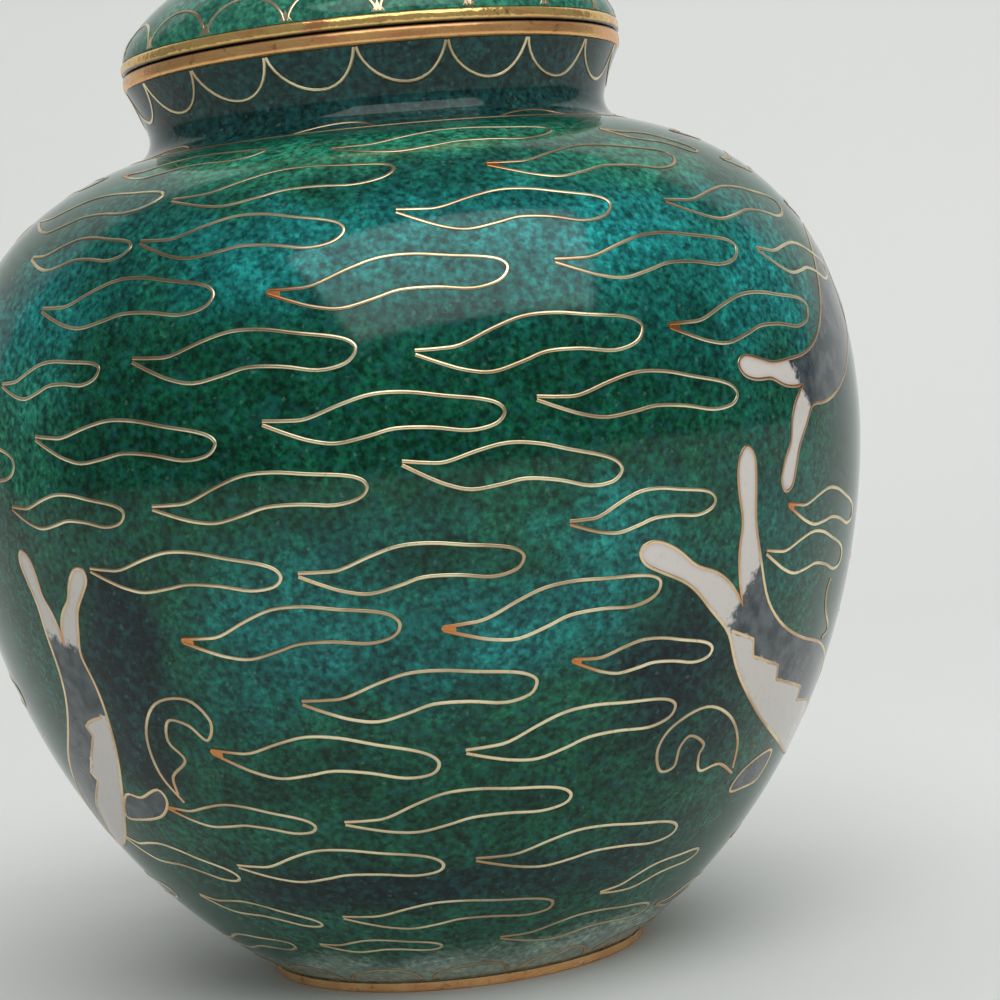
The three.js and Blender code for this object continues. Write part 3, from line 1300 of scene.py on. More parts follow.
class Ripples:
    """The water's ripples: those seen in front by their pixels, the rest by the rule of rows.

    Rows lie a fixed climb apart. A row near the belly has more ripples than one near the neck
    or the foot, and every second row is shifted round. Each ripple is moved a little by chance.
    """

    SEED: int = 7

    FRONT: list[tuple[Pixel, Pixel]] = [
        ((332, 148), (550, 130)), ((487, 163), (675, 157)), ((600, 128), (700, 150)),
        ((172, 200), (391, 170)), ((396, 210), (613, 205)), ((665, 200), (780, 205)),
        ((40, 222), (160, 197)), ((140, 242), (345, 232)), ((555, 260), (737, 248)),
        ((32, 258), (130, 248)), ((268, 292), (508, 268)),
        ((42, 310), (213, 297)), ((415, 352), (643, 328)), ((670, 325), (808, 308)),
        ((132, 360), (356, 350)), ((2, 385), (98, 370)), ((537, 398), (738, 395)),
        ((262, 423), (505, 412)), ((35, 438), (215, 445)), ((402, 463), (622, 470)),
        ((152, 508), (367, 487)), ((12, 508), (123, 515)), ((570, 523), (716, 500)),
        ((298, 575), (524, 557)), ((90, 570), (280, 578)),
        ((444, 629), (662, 583)), ((183, 641), (400, 625)),
        ((574, 661), (712, 650)), ((302, 703), (537, 682)), ((466, 752), (677, 706)),
        ((212, 752), (436, 765)), ((168, 808), (313, 828)), ((345, 824), (572, 795)),
        ((124, 836), (235, 878)), ((238, 867), (442, 865)), ((476, 860), (676, 828)),
        ((200, 895), (317, 925)), ((343, 918), (551, 903)), ((600, 893), (700, 850)),
        ((320, 945), (440, 946)), ((500, 938), (648, 906)),
    ]
    EDGE_TIPS: list[Pixel] = [(790, 505), (767, 552), (757, 248)]
    COPPER_TIPS: list[Pixel] = [
        (790, 505), (183, 641), (574, 661), (268, 292), (670, 325), (212, 752), (444, 629),
        (168, 808), (487, 163),
    ]
    ROWS: int = 15
    FIRST_ROW: float = 8.5 * MM
    ROW_STEP: float = 6.72 * MM
    LENGTH: float = 22.5 * MM
    ROOM: float = 0.80
    FULL_RADIUS: float = 40 * MM
    COUNT_WIDE: int = 11
    COUNT_NARROW: int = 9
    EDGE_SLOPE: float = -8.0
    EDGE_LENGTH: float = 19.0 * MM
    LEAST_RISE: float = 4.6 * MM
    LEAST_GAP: float = 1.0 * MM
    GAPS: Range = (3.2 * MM, 7.0 * MM)
    SEARCH_STEPS: Range = (1.0 * MM, 7.5 * MM)
    STARTS: Range = (0.6, 0.9)
    ROW_SHIFT: float = 0.4
    LAST: float = 0.6
    LIFTS: Range = (-0.5, 0.5)
    TILTS: Range = (-3, 6)
    SIZES: Range = (0.92, 1.0)
    HIGHS: Range = (0.82, 1.12)
    LOWS: Range = (0.82, 1.15)
    COPPER_SHARE: float = 0.35
    HEAT: float = 1.25
    HEAT_REACH: float = 2.6 * MM
    FILLED_TIP: float = 0.075
    TIP_CAP: list[Spot] = [(-0.10 * MM, -0.30 * MM), (-0.24 * MM, 0.0), (-0.10 * MM, 0.30 * MM)]
    TIP_PITCH: float = 0.8 * MM

    def __init__(self, sight: Sight, outline: Outline, shape: RippleShape) -> None:
        """Keeps what the ripples are placed by."""
        self.sight, self.outline, self.shape = sight, outline, shape
        self.chance = random.Random(self.SEED)

    def front(self) -> list[Ripple]:
        """Places each ripple seen in front.

        Returns:
            The ripples.
        """
        found = []
        for tip, end in self.FRONT:
            start = self.sight.strike(tip, self.outline)
            stop = self.sight.strike(end, self.outline)
            radius = float(self.outline.at((start[1] + stop[1]) / 2)[0])
            across, rise = (stop[0] - start[0]) * radius, stop[1] - start[1]
            place = Placement(self.outline, *start, math.atan2(rise, across))
            found.append(Ripple(place, math.hypot(across, rise), tip in self.COPPER_TIPS))
        for tip in self.EDGE_TIPS:
            slope = math.radians(self.EDGE_SLOPE)
            place = Placement(self.outline, *self.sight.strike(tip, self.outline), slope)
            found.append(Ripple(place, self.EDGE_LENGTH, tip in self.COPPER_TIPS))
        return found

    def behind(self, front: list[Ripple], kept_free: list["Zone"]) -> list[Ripple]:
        """Fills the side away from the camera, row by row.

        Args:
            front: the ripples in front, whose outermost ones end each row.
            kept_free: the zones that no ripple enters.

        Returns:
            The ripples.
        """
        found: list[Ripple] = []
        for row in range(self.ROWS):
            climb = self.FIRST_ROW + row * self.ROW_STEP
            radius = float(self.outline.at(climb)[0])
            step = math.tau / (self.COUNT_WIDE if radius > self.FULL_RADIUS else self.COUNT_NARROW)
            length = min(self.LENGTH, self.ROOM * step * radius)
            near = [
                ripple.place.turn + ripple.length / 2 / radius for ripple in front
                if abs(ripple.middle()[1] - climb) < 0.5 * self.ROW_STEP
            ]
            near = near or [0.5 * step * (row % 2)]
            shift = self.chance.uniform(*self.STARTS) + self.ROW_SHIFT * (row % 2)
            middle = max(near) + shift * step
            while middle < min(near) + math.tau - self.LAST * step:
                lift = climb + self.chance.uniform(*self.LIFTS) * MM
                tilt = math.radians(self.chance.uniform(*self.TILTS))
                copper = self.chance.random() < self.COPPER_SHARE
                size = length * self.chance.uniform(*self.SIZES)
                place = Placement(self.outline, middle - size / 2 / radius, lift, tilt)
                ripple = Ripple(place, size, copper)
                taken = any(zone.holds(middle, lift, size / radius) for zone in kept_free)
                if not taken and self.clear(ripple, front + found):
                    found.append(ripple)
                    middle += (size + self.chance.uniform(*self.GAPS)) / radius
                else:
                    middle += self.chance.uniform(*self.SEARCH_STEPS) / radius
        return found

    def clear(self, ripple: Ripple, laid: list[Ripple]) -> bool:
        """Tries whether a ripple has room.

        Args:
            ripple: the new ripple.
            laid: those already laid.

        Returns:
            Whether it would touch none of them.
        """
        turn, climb = ripple.middle()
        radius = float(self.outline.at(climb)[0])
        for other in laid:
            there = other.middle()
            off = abs(math.remainder(turn - there[0], math.tau)) * radius
            room = (ripple.length + other.length) / 2 + self.LEAST_GAP
            if abs(climb - there[1]) < self.LEAST_RISE and off < room:
                return False
        return True

    def draw(self, wires: WireDrawing, solder: CellBuilder, kept_free: list["Zone"]) -> None:
        """Draws every ripple, and the solder in the coppery tips.

        Args:
            wires: the drawing that the wires go to.
            solder: gathers the filled tips.
            kept_free: the zones that no ripple enters.
        """
        front = self.front()
        for ripple in front + self.behind(front, kept_free):
            swells = self.chance.uniform(*self.HIGHS), self.chance.uniform(*self.LOWS)
            loop = self.shape.loop(ripple.length, *swells)
            heat = np.clip(self.HEAT - loop[:, 0] / self.HEAT_REACH, 0, 1)
            heat *= 1.0 if ripple.copper else FAINT_SOLDER
            wires.strokes.append(drawn_line(ripple.place.lay(loop), solder=heat))
            if ripple.copper:
                wedge = loop[loop[:, 0] < self.FILLED_TIP * ripple.length]
                tip = np.vstack([wedge, self.TIP_CAP])
                solder.add(Cell(tip, ripple.place), self.TIP_PITCH, solder=1.0)


@dataclass(frozen=True)
class Zone:
    """A part of the surface that a figure takes up, in turns and climbs."""

    turn_low: float
    turn_high: float
    climb_low: float
    climb_high: float

    def holds(self, turn: float, climb: float, width: float) -> bool:
        """Tries whether a motif about a spot would reach into the zone.

        Args:
            turn: the spot's turn.
            climb: the spot's climb.
            width: how far the motif reaches round the jar.

        Returns:
            Whether it would.
        """
        if not self.climb_low < climb < self.climb_high:
            return False
        off = math.remainder(turn - (self.turn_low + self.turn_high) / 2, math.tau)
        return abs(off) < (self.turn_high - self.turn_low + width) / 2


@dataclass(frozen=True)
class Fish:
    """One swimming fish: a forked tail, a white belly and a grey back, met in a saw-tooth line.

    Flat lengths are for a fish of scale 1 that swims along +x with its tail's fork at the
    origin and its back to +y.
    """

    fork: Spot
    heading: float
    upper_lobe: tuple[float, float] = (123.0, 16.0 * MM)
    lower_lobe: tuple[float, float] = (184.5, 15.4 * MM)
    mirrored: bool = False
    scale: float = 1.0
    curve: float = 0.0
    grey_to: float = 0.0

    BACK_ROOT = (2.9, 2.2)
    BELLY_ROOT = (-0.1, -2.6)
    FORK = (0.2, 0.0)
    BACK = [(8.2, 1.4), (14.0, 2.5), (20.0, 4.7), (26.5, 5.6), (31.5, 4.4), (34.8, 1.6)]
    BELLY = [(35.6, -1.2), (33.4, -4.0), (29.0, -6.0), (23.0, -7.1), (14.2, -7.5), (7.5, -6.4),
             (3.4, -4.9)]
    TEETH = [(-9.0, -4.0), (0.5, -2.7), (4.4, -1.9), (5.8, -3.3), (11.2, -2.0), (12.4, -3.2),
             (19.6, -1.0), (20.6, -2.3), (26.8, 0.4), (36.5, 0.4)]
    TOOTH_STEPS = 6
    CURVE_STEPS = 5
    INNER_SIDE = [(0.0, 2.0), (0.2, 1.8), (0.42, 1.5), (0.52, 0.55), (0.62, 0.95), (0.8, 1.4),
                  (1.0, 1.2)]
    OUTER_SIDE = [(0.0, 1.9), (0.3, 1.5), (0.52, 1.1), (0.75, 1.3), (1.0, 1.2)]
    BOWS = (0.05, -0.06)
    LOBE_POINTS = 26
    ROUND_TIP = 0.08
    FULL_REACH = 13
    SMOOTHINGS = 3
    BORDER = (-0.25, 0.25)
    TAIL_FADE = (-2.2, 1.4)
    GREY_DROP = 7.0
    GREY_BEFORE, GREY_AFTER = 2.0, 5.0
    FORK_HEAT = 1.7 * MM
    LEAST_HEAT = 0.25

    def place(self, outline: Outline) -> Placement:
        """Where the fish lies."""
        return Placement(outline, *self.fork, math.radians(self.heading), self.mirrored)

    def bent(self, points: np.ndarray) -> np.ndarray:
        """Gives flat points the body's own bend.

        Args:
            points: in millimetres of a fish of scale 1.

        Returns:
            The points in metres.
        """
        scaled = points * MM * self.scale
        bend = self.curve * np.maximum(points[:, 0], 0) ** 2 * MM * self.scale
        return np.column_stack([scaled[:, 0], scaled[:, 1] + bend])

    def lobe(self, root: Spot, lobe: tuple[float, float], bow: float,
             inner_left: bool) -> tuple[np.ndarray, np.ndarray]:
        """The two sides of one tail lobe, from its root to its rounded tip.

        Args:
            root: the middle of its root.
            lobe: its angle from the heading, and how far its tip is from the fork.
            bow: how far its middle bows to the left on the way out, as a share.
            inner_left: whether its notched inner side is the left one.

        Returns:
            The left and the right side, in millimetres of a fish of scale 1.
        """
        angle, reach = math.radians(lobe[0]), lobe[1] / MM / self.scale
        tip = np.array([math.cos(angle), math.sin(angle)]) * reach
        start = np.array(root)
        way = tip - start
        square = np.array([-way[1], way[0]])
        share = np.sin(np.linspace(0, math.pi / 2, self.LOBE_POINTS))[:, None]
        spine = start + way * share + square * bow * np.sin(math.pi * share)
        along = np.gradient(spine, axis=0)
        along /= np.hypot(*along.T)[:, None]
        normal = np.column_stack([-along[:, 1], along[:, 0]])
        tip_close = np.sqrt(np.clip((1 - share) / self.ROUND_TIP, 0, 1))
        close = tip_close * min(1.0, reach / self.FULL_REACH)
        sides = (self.INNER_SIDE, self.OUTER_SIDE)[::1 if inner_left else -1]
        left, right = (
            np.interp(share, *through(side, self.CURVE_STEPS).T) * close for side in sides
        )
        return spine + normal * left, spine - normal * right

    def ring(self) -> np.ndarray:
        """The fish's whole outline.

        Returns:
            Flat points in metres.
        """
        fork = np.array(self.FORK)
        upper_root = (np.array(self.BACK_ROOT) + fork) / 2
        lower_root = (np.array(self.BELLY_ROOT) + fork) / 2
        upper = self.lobe(tuple(upper_root), self.upper_lobe, self.BOWS[0], True)
        lower = self.lobe(tuple(lower_root), self.lower_lobe, self.BOWS[1], False)
        body = through([self.BELLY_ROOT, *self.BELLY[::-1], *self.BACK[::-1], self.BACK_ROOT],
                       self.CURVE_STEPS)
        first = np.vstack([upper[1][2:], upper[0][-2:1:-1]])
        line = np.vstack([first, fork[None], lower[1][2:], lower[0][-2:1:-1], body])
        for _ in range(self.SMOOTHINGS):
            line = (np.roll(line, 1, axis=0) + 2 * line + np.roll(line, -1, axis=0)) / 4
            line[len(first)] = fork
        return self.bent(line)

    def grey(self, flat: np.ndarray) -> np.ndarray:
        """Greys the back above the saw-tooth line, fading into the tail.

        Args:
            flat: flat points in metres.

        Returns:
            How grey each point is.
        """
        x, y = flat[:, 0] / MM / self.scale, flat[:, 1] / MM / self.scale
        y = y - self.curve * np.maximum(x, 0) ** 2
        teeth = self.divide()
        above = smooth_step(*self.BORDER, y - np.interp(x, teeth[:, 0], teeth[:, 1]))
        return above * smooth_step(*self.TAIL_FADE, x)

    def divide(self) -> np.ndarray:
        """The line between belly and back, bent down to the belly's edge where all is grey.

        Returns:
            The line's points in millimetres of a fish of scale 1.
        """
        line = stepped(self.TEETH, self.TOOTH_STEPS)
        if self.grey_to > 0:
            span = self.grey_to - self.GREY_BEFORE, self.grey_to + self.GREY_AFTER
            line[:, 1] -= self.GREY_DROP * (1 - smooth_step(*span, line[:, 0]))
        return line

    def draw(self, outline: Outline, wires: WireDrawing, cells: CellBuilder) -> None:
        """Draws the fish's wires and fills it.

        Args:
            outline: the jar's outline.
            wires: the drawing that the wires go to.
            cells: gathers the enamel fields.
        """
        place, ring = self.place(outline), self.ring()
        cells.add(Cell(ring, place), FIELD_PITCH, self.grey)
        from_fork = np.hypot(*ring.T) / self.FORK_HEAT
        warm = self.LEAST_HEAT + (1 - self.LEAST_HEAT) * np.exp(-from_fork ** 2)
        wires.strokes.append(drawn_line(place.lay(ring), True, warm))
        teeth = self.bent(self.divide())
        teeth = teeth[inside(teeth, ring) & (teeth[:, 0] > 0)]
        tinge = np.full(len(teeth), FAINT_SOLDER)
        wires.strokes.append(drawn_line(place.lay(teeth), solder=tinge))


@dataclass(frozen=True)
class Fin:
    """A grey fin or a drifting weed: one field, drawn through a few pixels round it."""

    knots: list[Pixel]

    STEPS = 4

    def draw(self, sight: Sight, outline: Outline, wires: WireDrawing, cells: CellBuilder) -> None:
        """Lays the field and its wire where the sight lines strike the jar.

        Args:
            sight: the camera.
            outline: the jar's outline.
            wires: the drawing that the wire goes to.
            cells: gathers the enamel fields.
        """
        struck = [sight.strike(knot, outline) for knot in self.knots]
        spots = through(struck, self.STEPS, closed=True)
        turn, climb = spots.mean(axis=0)
        place = Placement(outline, float(turn), float(climb))
        ring = spots - (turn, climb)
        ring[:, 0] *= outline.at(spots[:, 1])[0]
        cells.add(Cell(ring, place), FIELD_PITCH, lambda flat: np.ones(len(flat)))
        tinge = np.full(len(ring), FAINT_SOLDER)
        wires.strokes.append(drawn_line(place.lay(ring), True, tinge))


@dataclass(frozen=True)
class Curl:
    """A curling crest of water, drawn as one line through a few pixels."""

    knots: list[Pixel]

    STEPS = 5
    WARM_POINTS = 6
    WARMTH = 0.5

    def draw(self, sight: Sight, outline: Outline, wires: WireDrawing) -> None:
        """Lays the curl where the sight lines strike the jar.

        Args:
            sight: the camera.
            outline: the jar's outline.
            wires: the drawing that the wire goes to.
        """
        line = through([sight.strike(knot, outline) for knot in self.knots], self.STEPS)
        heat = np.zeros(len(line))
        heat[:self.WARM_POINTS] = heat[-self.WARM_POINTS:] = self.WARMTH
        wires.strokes.append(drawn_line(line, solder=heat))


@dataclass(frozen=True)
class Scallops:
    """A row of like arcs round the jar, each a wire of its own."""

    count: int
    first: float
    base: float
    depth: float
    share: float = 0.98
    lean: float = 0.06

    POINTS = 17
    ROUNDNESS = 0.8

    def arcs(self) -> list[np.ndarray]:
        """Each arc's placed points, hanging down where the depth is negative.

        Returns:
            The arcs.
        """
        step = math.tau / self.count
        angle = np.linspace(0, math.pi, self.POINTS)
        found = []
        for i in range(self.count):
            start = math.radians(self.first) + i * step
            across = self.ROUNDNESS * (1 - np.cos(angle)) / 2
            across += (1 - self.ROUNDNESS) * angle / math.pi
            across += self.lean * np.sin(angle) ** 2
            turn = start + step * (0.5 + self.share * (across - 0.5))
            climb = self.base + self.depth * np.sin(angle)
            found.append(np.column_stack([turn, climb]))
        return found


@dataclass(frozen=True)
class Patch:
    """A soft area of one colour in the enamel."""

    spot: Spot
    tint: Tint
    width: float
    height: float
    strength: float = 1.0


class Washes:
    """Lays broad soft areas of colour over the jar's enamel, one of them painted light at the left
    edge.
    """

    FRONT: list[tuple[Pixel, Tint, float, float, float]] = [
        ((600, 225), Tint.TEAL, 13, 7, 1.0), ((300, 255), Tint.TEAL, 14, 6, 0.9),
        ((470, 240), Tint.TEAL, 12, 6, 0.7), ((760, 270), Tint.TEAL, 9, 9, 0.9),
        ((120, 240), Tint.SEA, 12, 8, 0.8), ((520, 175), Tint.SEA, 18, 5, 0.7),
        ((680, 330), Tint.SEA, 8, 5, 0.7), ((420, 300), Tint.SEA, 13, 5, 0.6),
        ((200, 400), Tint.DEEP, 16, 7, 0.9), ((430, 420), Tint.DEEP, 16, 7, 0.9),
        ((160, 485), Tint.DEEP, 14, 6, 0.9), ((640, 440), Tint.DEEP, 11, 8, 0.7),
        ((310, 370), Tint.DEEP, 12, 5, 0.6), ((620, 540), Tint.TEAL, 8, 5, 0.6),
        ((430, 650), Tint.SEA, 16, 6, 0.95), ((300, 620), Tint.TEAL, 10, 6, 0.6),
        ((560, 620), Tint.TEAL, 9, 5, 0.6), ((380, 560), Tint.SEA, 12, 4, 0.6),
        ((240, 690), Tint.SEA, 7, 7, 0.6), ((780, 520), Tint.SEA, 8, 8, 0.6),
        ((430, 560), Tint.DEEP, 5, 2, 0.8), ((680, 670), Tint.NAVY, 8, 9, 1.0),
        ((700, 745), Tint.NAVY, 7, 4, 0.7), ((128, 680), Tint.NAVY, 5, 11, 1.0),
        ((350, 790), Tint.DEEP, 16, 5, 0.8), ((560, 800), Tint.DEEP, 12, 6, 0.6),
        ((330, 888), Tint.NAVY, 15, 3.6, 0.9), ((520, 880), Tint.NAVY, 12, 3.6, 0.8),
        ((640, 850), Tint.NAVY, 8, 3.6, 0.5), ((845, 400), Tint.NAVY, 5, 11, 0.7),
        ((115, 620), Tint.NAVY, 4, 5, 1.0), ((135, 750), Tint.NAVY, 5, 5, 0.9),
        # The first patch on this line is painted light: teal that brightens the jar's left edge
        # where light falls on it.
        ((20, 330), Tint.TEAL, 9, 9, 0.75), ((14, 430), Tint.JADE, 7, 7, 0.6),
        # The first patch on this line is the foot's pale enamel, partly painted light.
        ((615, 928), Tint.MIST, 9, 3, 0.55), ((300, 155), Tint.JADE, 15, 4, 0.9),
        ((450, 138), Tint.JADE, 14, 3, 0.8), ((620, 160), Tint.JADE, 10, 4, 0.7),
    ]
    SEED: int = 3
    HIDDEN_COUNT: int = 34
    HIDDEN_TINTS = [Tint.TEAL, Tint.SEA, Tint.SEA, Tint.DEEP, Tint.DEEP, Tint.NAVY]
    HIDDEN_TURNS: Range = (80, 285)
    HIDDEN_CLIMBS: Range = (10, 106)
    HIDDEN_WIDTHS: Range = (8, 15)
    HIDDEN_HEIGHTS: Range = (4, 8)
    HIDDEN_STRENGTH: float = 0.8
    RAGGED_SIZE: float = 5 * MM
    RAGGED: float = 0.55
    FADE: Range = (1.55, 0.35)
    NECK: Range = (106.5 * MM, 109.5 * MM)
    NECK_RAGGED, NECK_STRENGTH = 0.8 * MM, 0.92
    FOOT: Range = (8.5 * MM, 2.5 * MM)
    FOOT_RAGGED, FOOT_STRENGTH = 2.0 * MM, 0.85
    FOOT_CALM: float = 0.7

    def __init__(self, sight: Sight, outline: Outline) -> None:
        """Gathers the patches in front, and chance ones behind.

        Args:
            sight: the camera.
            outline: the jar's outline.
        """
        self.outline = outline
        self.patches = [
            Patch(sight.strike(pixel, outline), tint, width * MM, height * MM, strength)
            for pixel, tint, width, height, strength in self.FRONT
        ]
        chance = random.Random(self.SEED)
        for _ in range(self.HIDDEN_COUNT):
            tint = chance.choice(self.HIDDEN_TINTS)
            turn = math.radians(chance.uniform(*self.HIDDEN_TURNS))
            spot = (turn, chance.uniform(*self.HIDDEN_CLIMBS) * MM)
            width = chance.uniform(*self.HIDDEN_WIDTHS) * MM
            height = chance.uniform(*self.HIDDEN_HEIGHTS) * MM
            self.patches.append(Patch(spot, tint, width, height, self.HIDDEN_STRENGTH))

    def paint(self, piece: Piece, inside_of: float) -> None:
        """Stores the wash as a colour on each vertex.

        Args:
            piece: the jar's enamel.
            inside_of: how far within the outline a vertex counts as the inside.
        """
        mesh = piece.data
        spots = np.empty(len(mesh.vertices) * 3)
        mesh.vertices.foreach_get("co", spots)
        x, y, z = spots.reshape(-1, 3).T
        turn, climb = np.arctan2(x, -y), self.outline.climb_at_height(z)
        radius = np.hypot(x, y)
        colour = np.tile(np.array(Tint.GREEN.value), (len(x), 1))
        ragged = np.array([
            noise.noise(Vector(spot) / self.RAGGED_SIZE) for spot in zip(x, y, z)
        ])
        for patch in self.patches:
            off = np.arctan2(np.sin(turn - patch.spot[0]), np.cos(turn - patch.spot[0]))
            far = np.hypot(off * radius / patch.width, (climb - patch.spot[1]) / patch.height)
            share = patch.strength * smooth_step(*self.FADE, far + self.RAGGED * ragged)
            colour += share[:, None] * (np.array(patch.tint.value) - colour)
        neck = smooth_step(*self.NECK, climb + self.NECK_RAGGED * ragged) * self.NECK_STRENGTH
        colour += neck[:, None] * (np.array(Tint.INK.value) - colour)
        # Pale enamel towards the foot, partly its own colour and partly painted light standing in
        # for light reflected up onto it.
        foot = smooth_step(*self.FOOT, climb + self.FOOT_RAGGED * ragged) * self.FOOT_STRENGTH
        colour += foot[:, None] * (np.array(Tint.MIST.value) - colour)
        within = self.outline.at(climb)[0] - radius > inside_of
        colour[within] = Tint.TURQUOISE.value
        layer = mesh.attributes.new("wash", "FLOAT_COLOR", "POINT")
        calm = 1 - self.FOOT_CALM * foot
        layer.data.foreach_set("color", np.column_stack([colour, calm]).ravel())


def fillet(corner: Spot, before: Spot, after: Spot, steps: int = 5) -> list[Spot]:
    """A rounded corner between two points beside it."""
    return [tuple(point) for point in bezier([before, corner, after], steps)]


@dataclass
class Body:
    """The vessel: its enamelled wall, hollow inside, and everything inlaid in it."""

    shape: JarShape
    turner: Turner
    sight: Sight
    outline: Outline
    inlay: Tree

    SPOKES = (0.0, 0.25, 0.5, 0.75, 1.0)
    FLOOR_GAP = 0.1 * MM
    INNER_FROM = 4
    FIELD_LIFTS = (-0.045 * MM, -0.32 * MM)
    SOLDER_LIFTS = (-0.035 * MM, -0.32 * MM)
    FISH_ZONES = [(24, 80, 19, 58), (48, 94, 60, 84), (-70, -40, 26, 60), (116, 168, 36, 60),
                  (197, 250, 60, 90)]
    FINS = [
        Fin([(126, 795), (141, 798), (157, 790), (167, 803), (161, 817), (140, 820), (126, 816)]),
        Fin([(730, 791), (741, 773), (760, 756), (772, 751), (758, 778), (742, 788)]),
    ]
    CURLS = [
        Curl([(184, 803), (159, 773), (146, 734), (155, 704), (186, 700), (210, 722),
              (207, 741), (188, 726), (168, 721), (168, 742), (185, 761), (173, 777),
              (178, 795)]),
        Curl([(732, 773), (719, 764), (700, 771), (699, 756), (704, 744), (691, 736),
              (680, 748), (674, 767), (660, 771), (658, 750), (674, 726), (707, 707),
              (730, 716), (738, 740), (733, 768)]),
        Curl([(822, 638), (828, 628), (826, 610), (827, 592), (831, 578)]),
    ]
    COLLAR_WIDTH = 0.43 * MM
    COLLAR_RISE = 0.15 * MM
    COLLAR_DROP = -4.1 * MM
    COLLAR_ARCS, COLLAR_FIRST = 18, -63.3
    NECK_FOOT = 108.7 * MM
    NECK_RING_POINTS, NECK_RING_HEAT = 120, 0.5
    LOW_ARCHES = [Scallops(8, -32.0, NECK_FOOT, 1.9 * MM, 0.40, 0.10),
                  Scallops(15, -33.8, 1.1 * MM, 2.6 * MM, 0.86, 0.10)]

    def section(self) -> np.ndarray:
        """The wall's section: under the base, up the outside, down the inside, over the base.

        Returns:
            Points of radius and height.
        """
        shape = self.shape
        foot_inside = shape.foot_radius - shape.foot_width
        base_under = shape.foot_top + shape.base_rise
        base_top = base_under + shape.wall
        skin = self.outline.inset(shape.enamel_depth)
        skin[-1] = (skin[-1][0], shape.rim)
        within = self.outline.inset(shape.wall)
        heights = within[:, 1]
        within = within[(heights > base_top + self.FLOOR_GAP) & (heights < shape.rim)][::2]
        floor = [(share * within[0][0], base_top) for share in self.SPOKES[::-1]]
        under = [(share * foot_inside, base_under) for share in self.SPOKES]
        return np.vstack([under, [(foot_inside, shape.foot_top)], skin,
                          [(within[-1][0], shape.rim)], within[::-1], floor])

    def enamel(self) -> Piece:
        """The enamelled wall with its washes of colour.

        Returns:
            The piece.
        """
        finish = SpeckledEnamel("speckled_enamel", washed=True).build()
        piece = self.turner.turn("jar_enamel", self.section(), finish)
        inside_of = self.INNER_FROM * self.shape.enamel_depth
        Washes(self.sight, self.outline).paint(piece, inside_of)
        return hand_over(piece, "jar_enamel", "jar_body")

    def fishes(self) -> list[Fish]:
        """The fish seen at both sides, and two more behind.

        Returns:
            The fish.
        """
        strike = self.sight.strike
        return [
            Fish(strike((742, 605), self.outline), -33.0),
            Fish(strike((803, 385), self.outline), 32.0, (132.0, 10.8 * MM), (216.0, 11.2 * MM),
                 scale=0.86, grey_to=24.0),
            Fish(strike((64, 646), self.outline), -108.0, (142.0, 10.6 * MM), (201.0, 10.2 * MM),
                 mirrored=True, scale=0.82, curve=0.006, grey_to=6.5),
            Fish((math.radians(150), 40 * MM), 150.0, scale=0.95, mirrored=True),
            Fish((math.radians(214), 72 * MM), 24.0, (128.0, 12 * MM), (205.0, 13 * MM), scale=0.9),
        ]

    def zones(self) -> list[Zone]:
        """What the fish take up, so that no ripple crosses them."""
        return [Zone(math.radians(a), math.radians(b), low * MM, high * MM)
                for a, b, low, high in self.FISH_ZONES]

    def drawing(self, name: str, width: float = WireDrawing.width) -> WireDrawing:
        """An empty drawing for the jar's surface."""
        return WireDrawing(name, self.outline, self.inlay, width, recess=self.shape.enamel_depth)

    def inlays(self) -> list[Piece]:
        """The wires and fields let into the enamel.

        Returns:
            The pieces.
        """
        wire = InlayWire("inlay_wire").build()
        ripples, figures = self.drawing("ripple_wires"), self.drawing("fish_wires")
        cells = CellBuilder("fish_fields", *self.FIELD_LIFTS)
        solder = CellBuilder("tip_solder", *self.SOLDER_LIFTS)
        for fish in self.fishes():
            fish.draw(self.outline, figures, cells)
        for curl in self.CURLS:
            curl.draw(self.sight, self.outline, figures)
        for fin in self.FINS:
            fin.draw(self.sight, self.outline, figures, cells)
        Ripples(self.sight, self.outline, RippleShape()).draw(ripples, solder, self.zones())
        return [
            hand_over(ripples.build(wire), "inlay_wire"),
            hand_over(figures.build(wire), "inlay_wire"),
            hand_over(self.collar_wires().build(wire), "inlay_wire"),
            hand_over(cells.build(FishEnamel("fish_enamel").build()), "fish_enamel"),
            hand_over(solder.build(wire), "inlay_wire"),
        ]

    def collar_wires(self) -> WireDrawing:
        """The scallops under the mouth, the ring at the neck's foot and the low arches.

        Returns:
            The drawing.
        """
        wires = self.drawing("collar_wires", self.COLLAR_WIDTH)
        top = self.outline.length - self.COLLAR_RISE
        hanging = Scallops(self.COLLAR_ARCS, self.COLLAR_FIRST, top, self.COLLAR_DROP)
        wires.strokes += [drawn_line(arc) for arc in hanging.arcs()]
        count = self.NECK_RING_POINTS
        turns = np.linspace(0, math.tau, count, endpoint=False)
        ring = np.column_stack([turns, np.full(count, self.NECK_FOOT)])
        wires.strokes.append(drawn_line(ring, True, np.full(count, self.NECK_RING_HEAT)))
        wires.strokes += [drawn_line(arc, solder=np.full(len(arc), FAINT_SOLDER))
                          for row in self.LOW_ARCHES for arc in row.arcs()]
        return wires

    def build(self) -> list[Piece]:
        """Everything of the vessel."""
        return [self.enamel(), *self.inlays()]


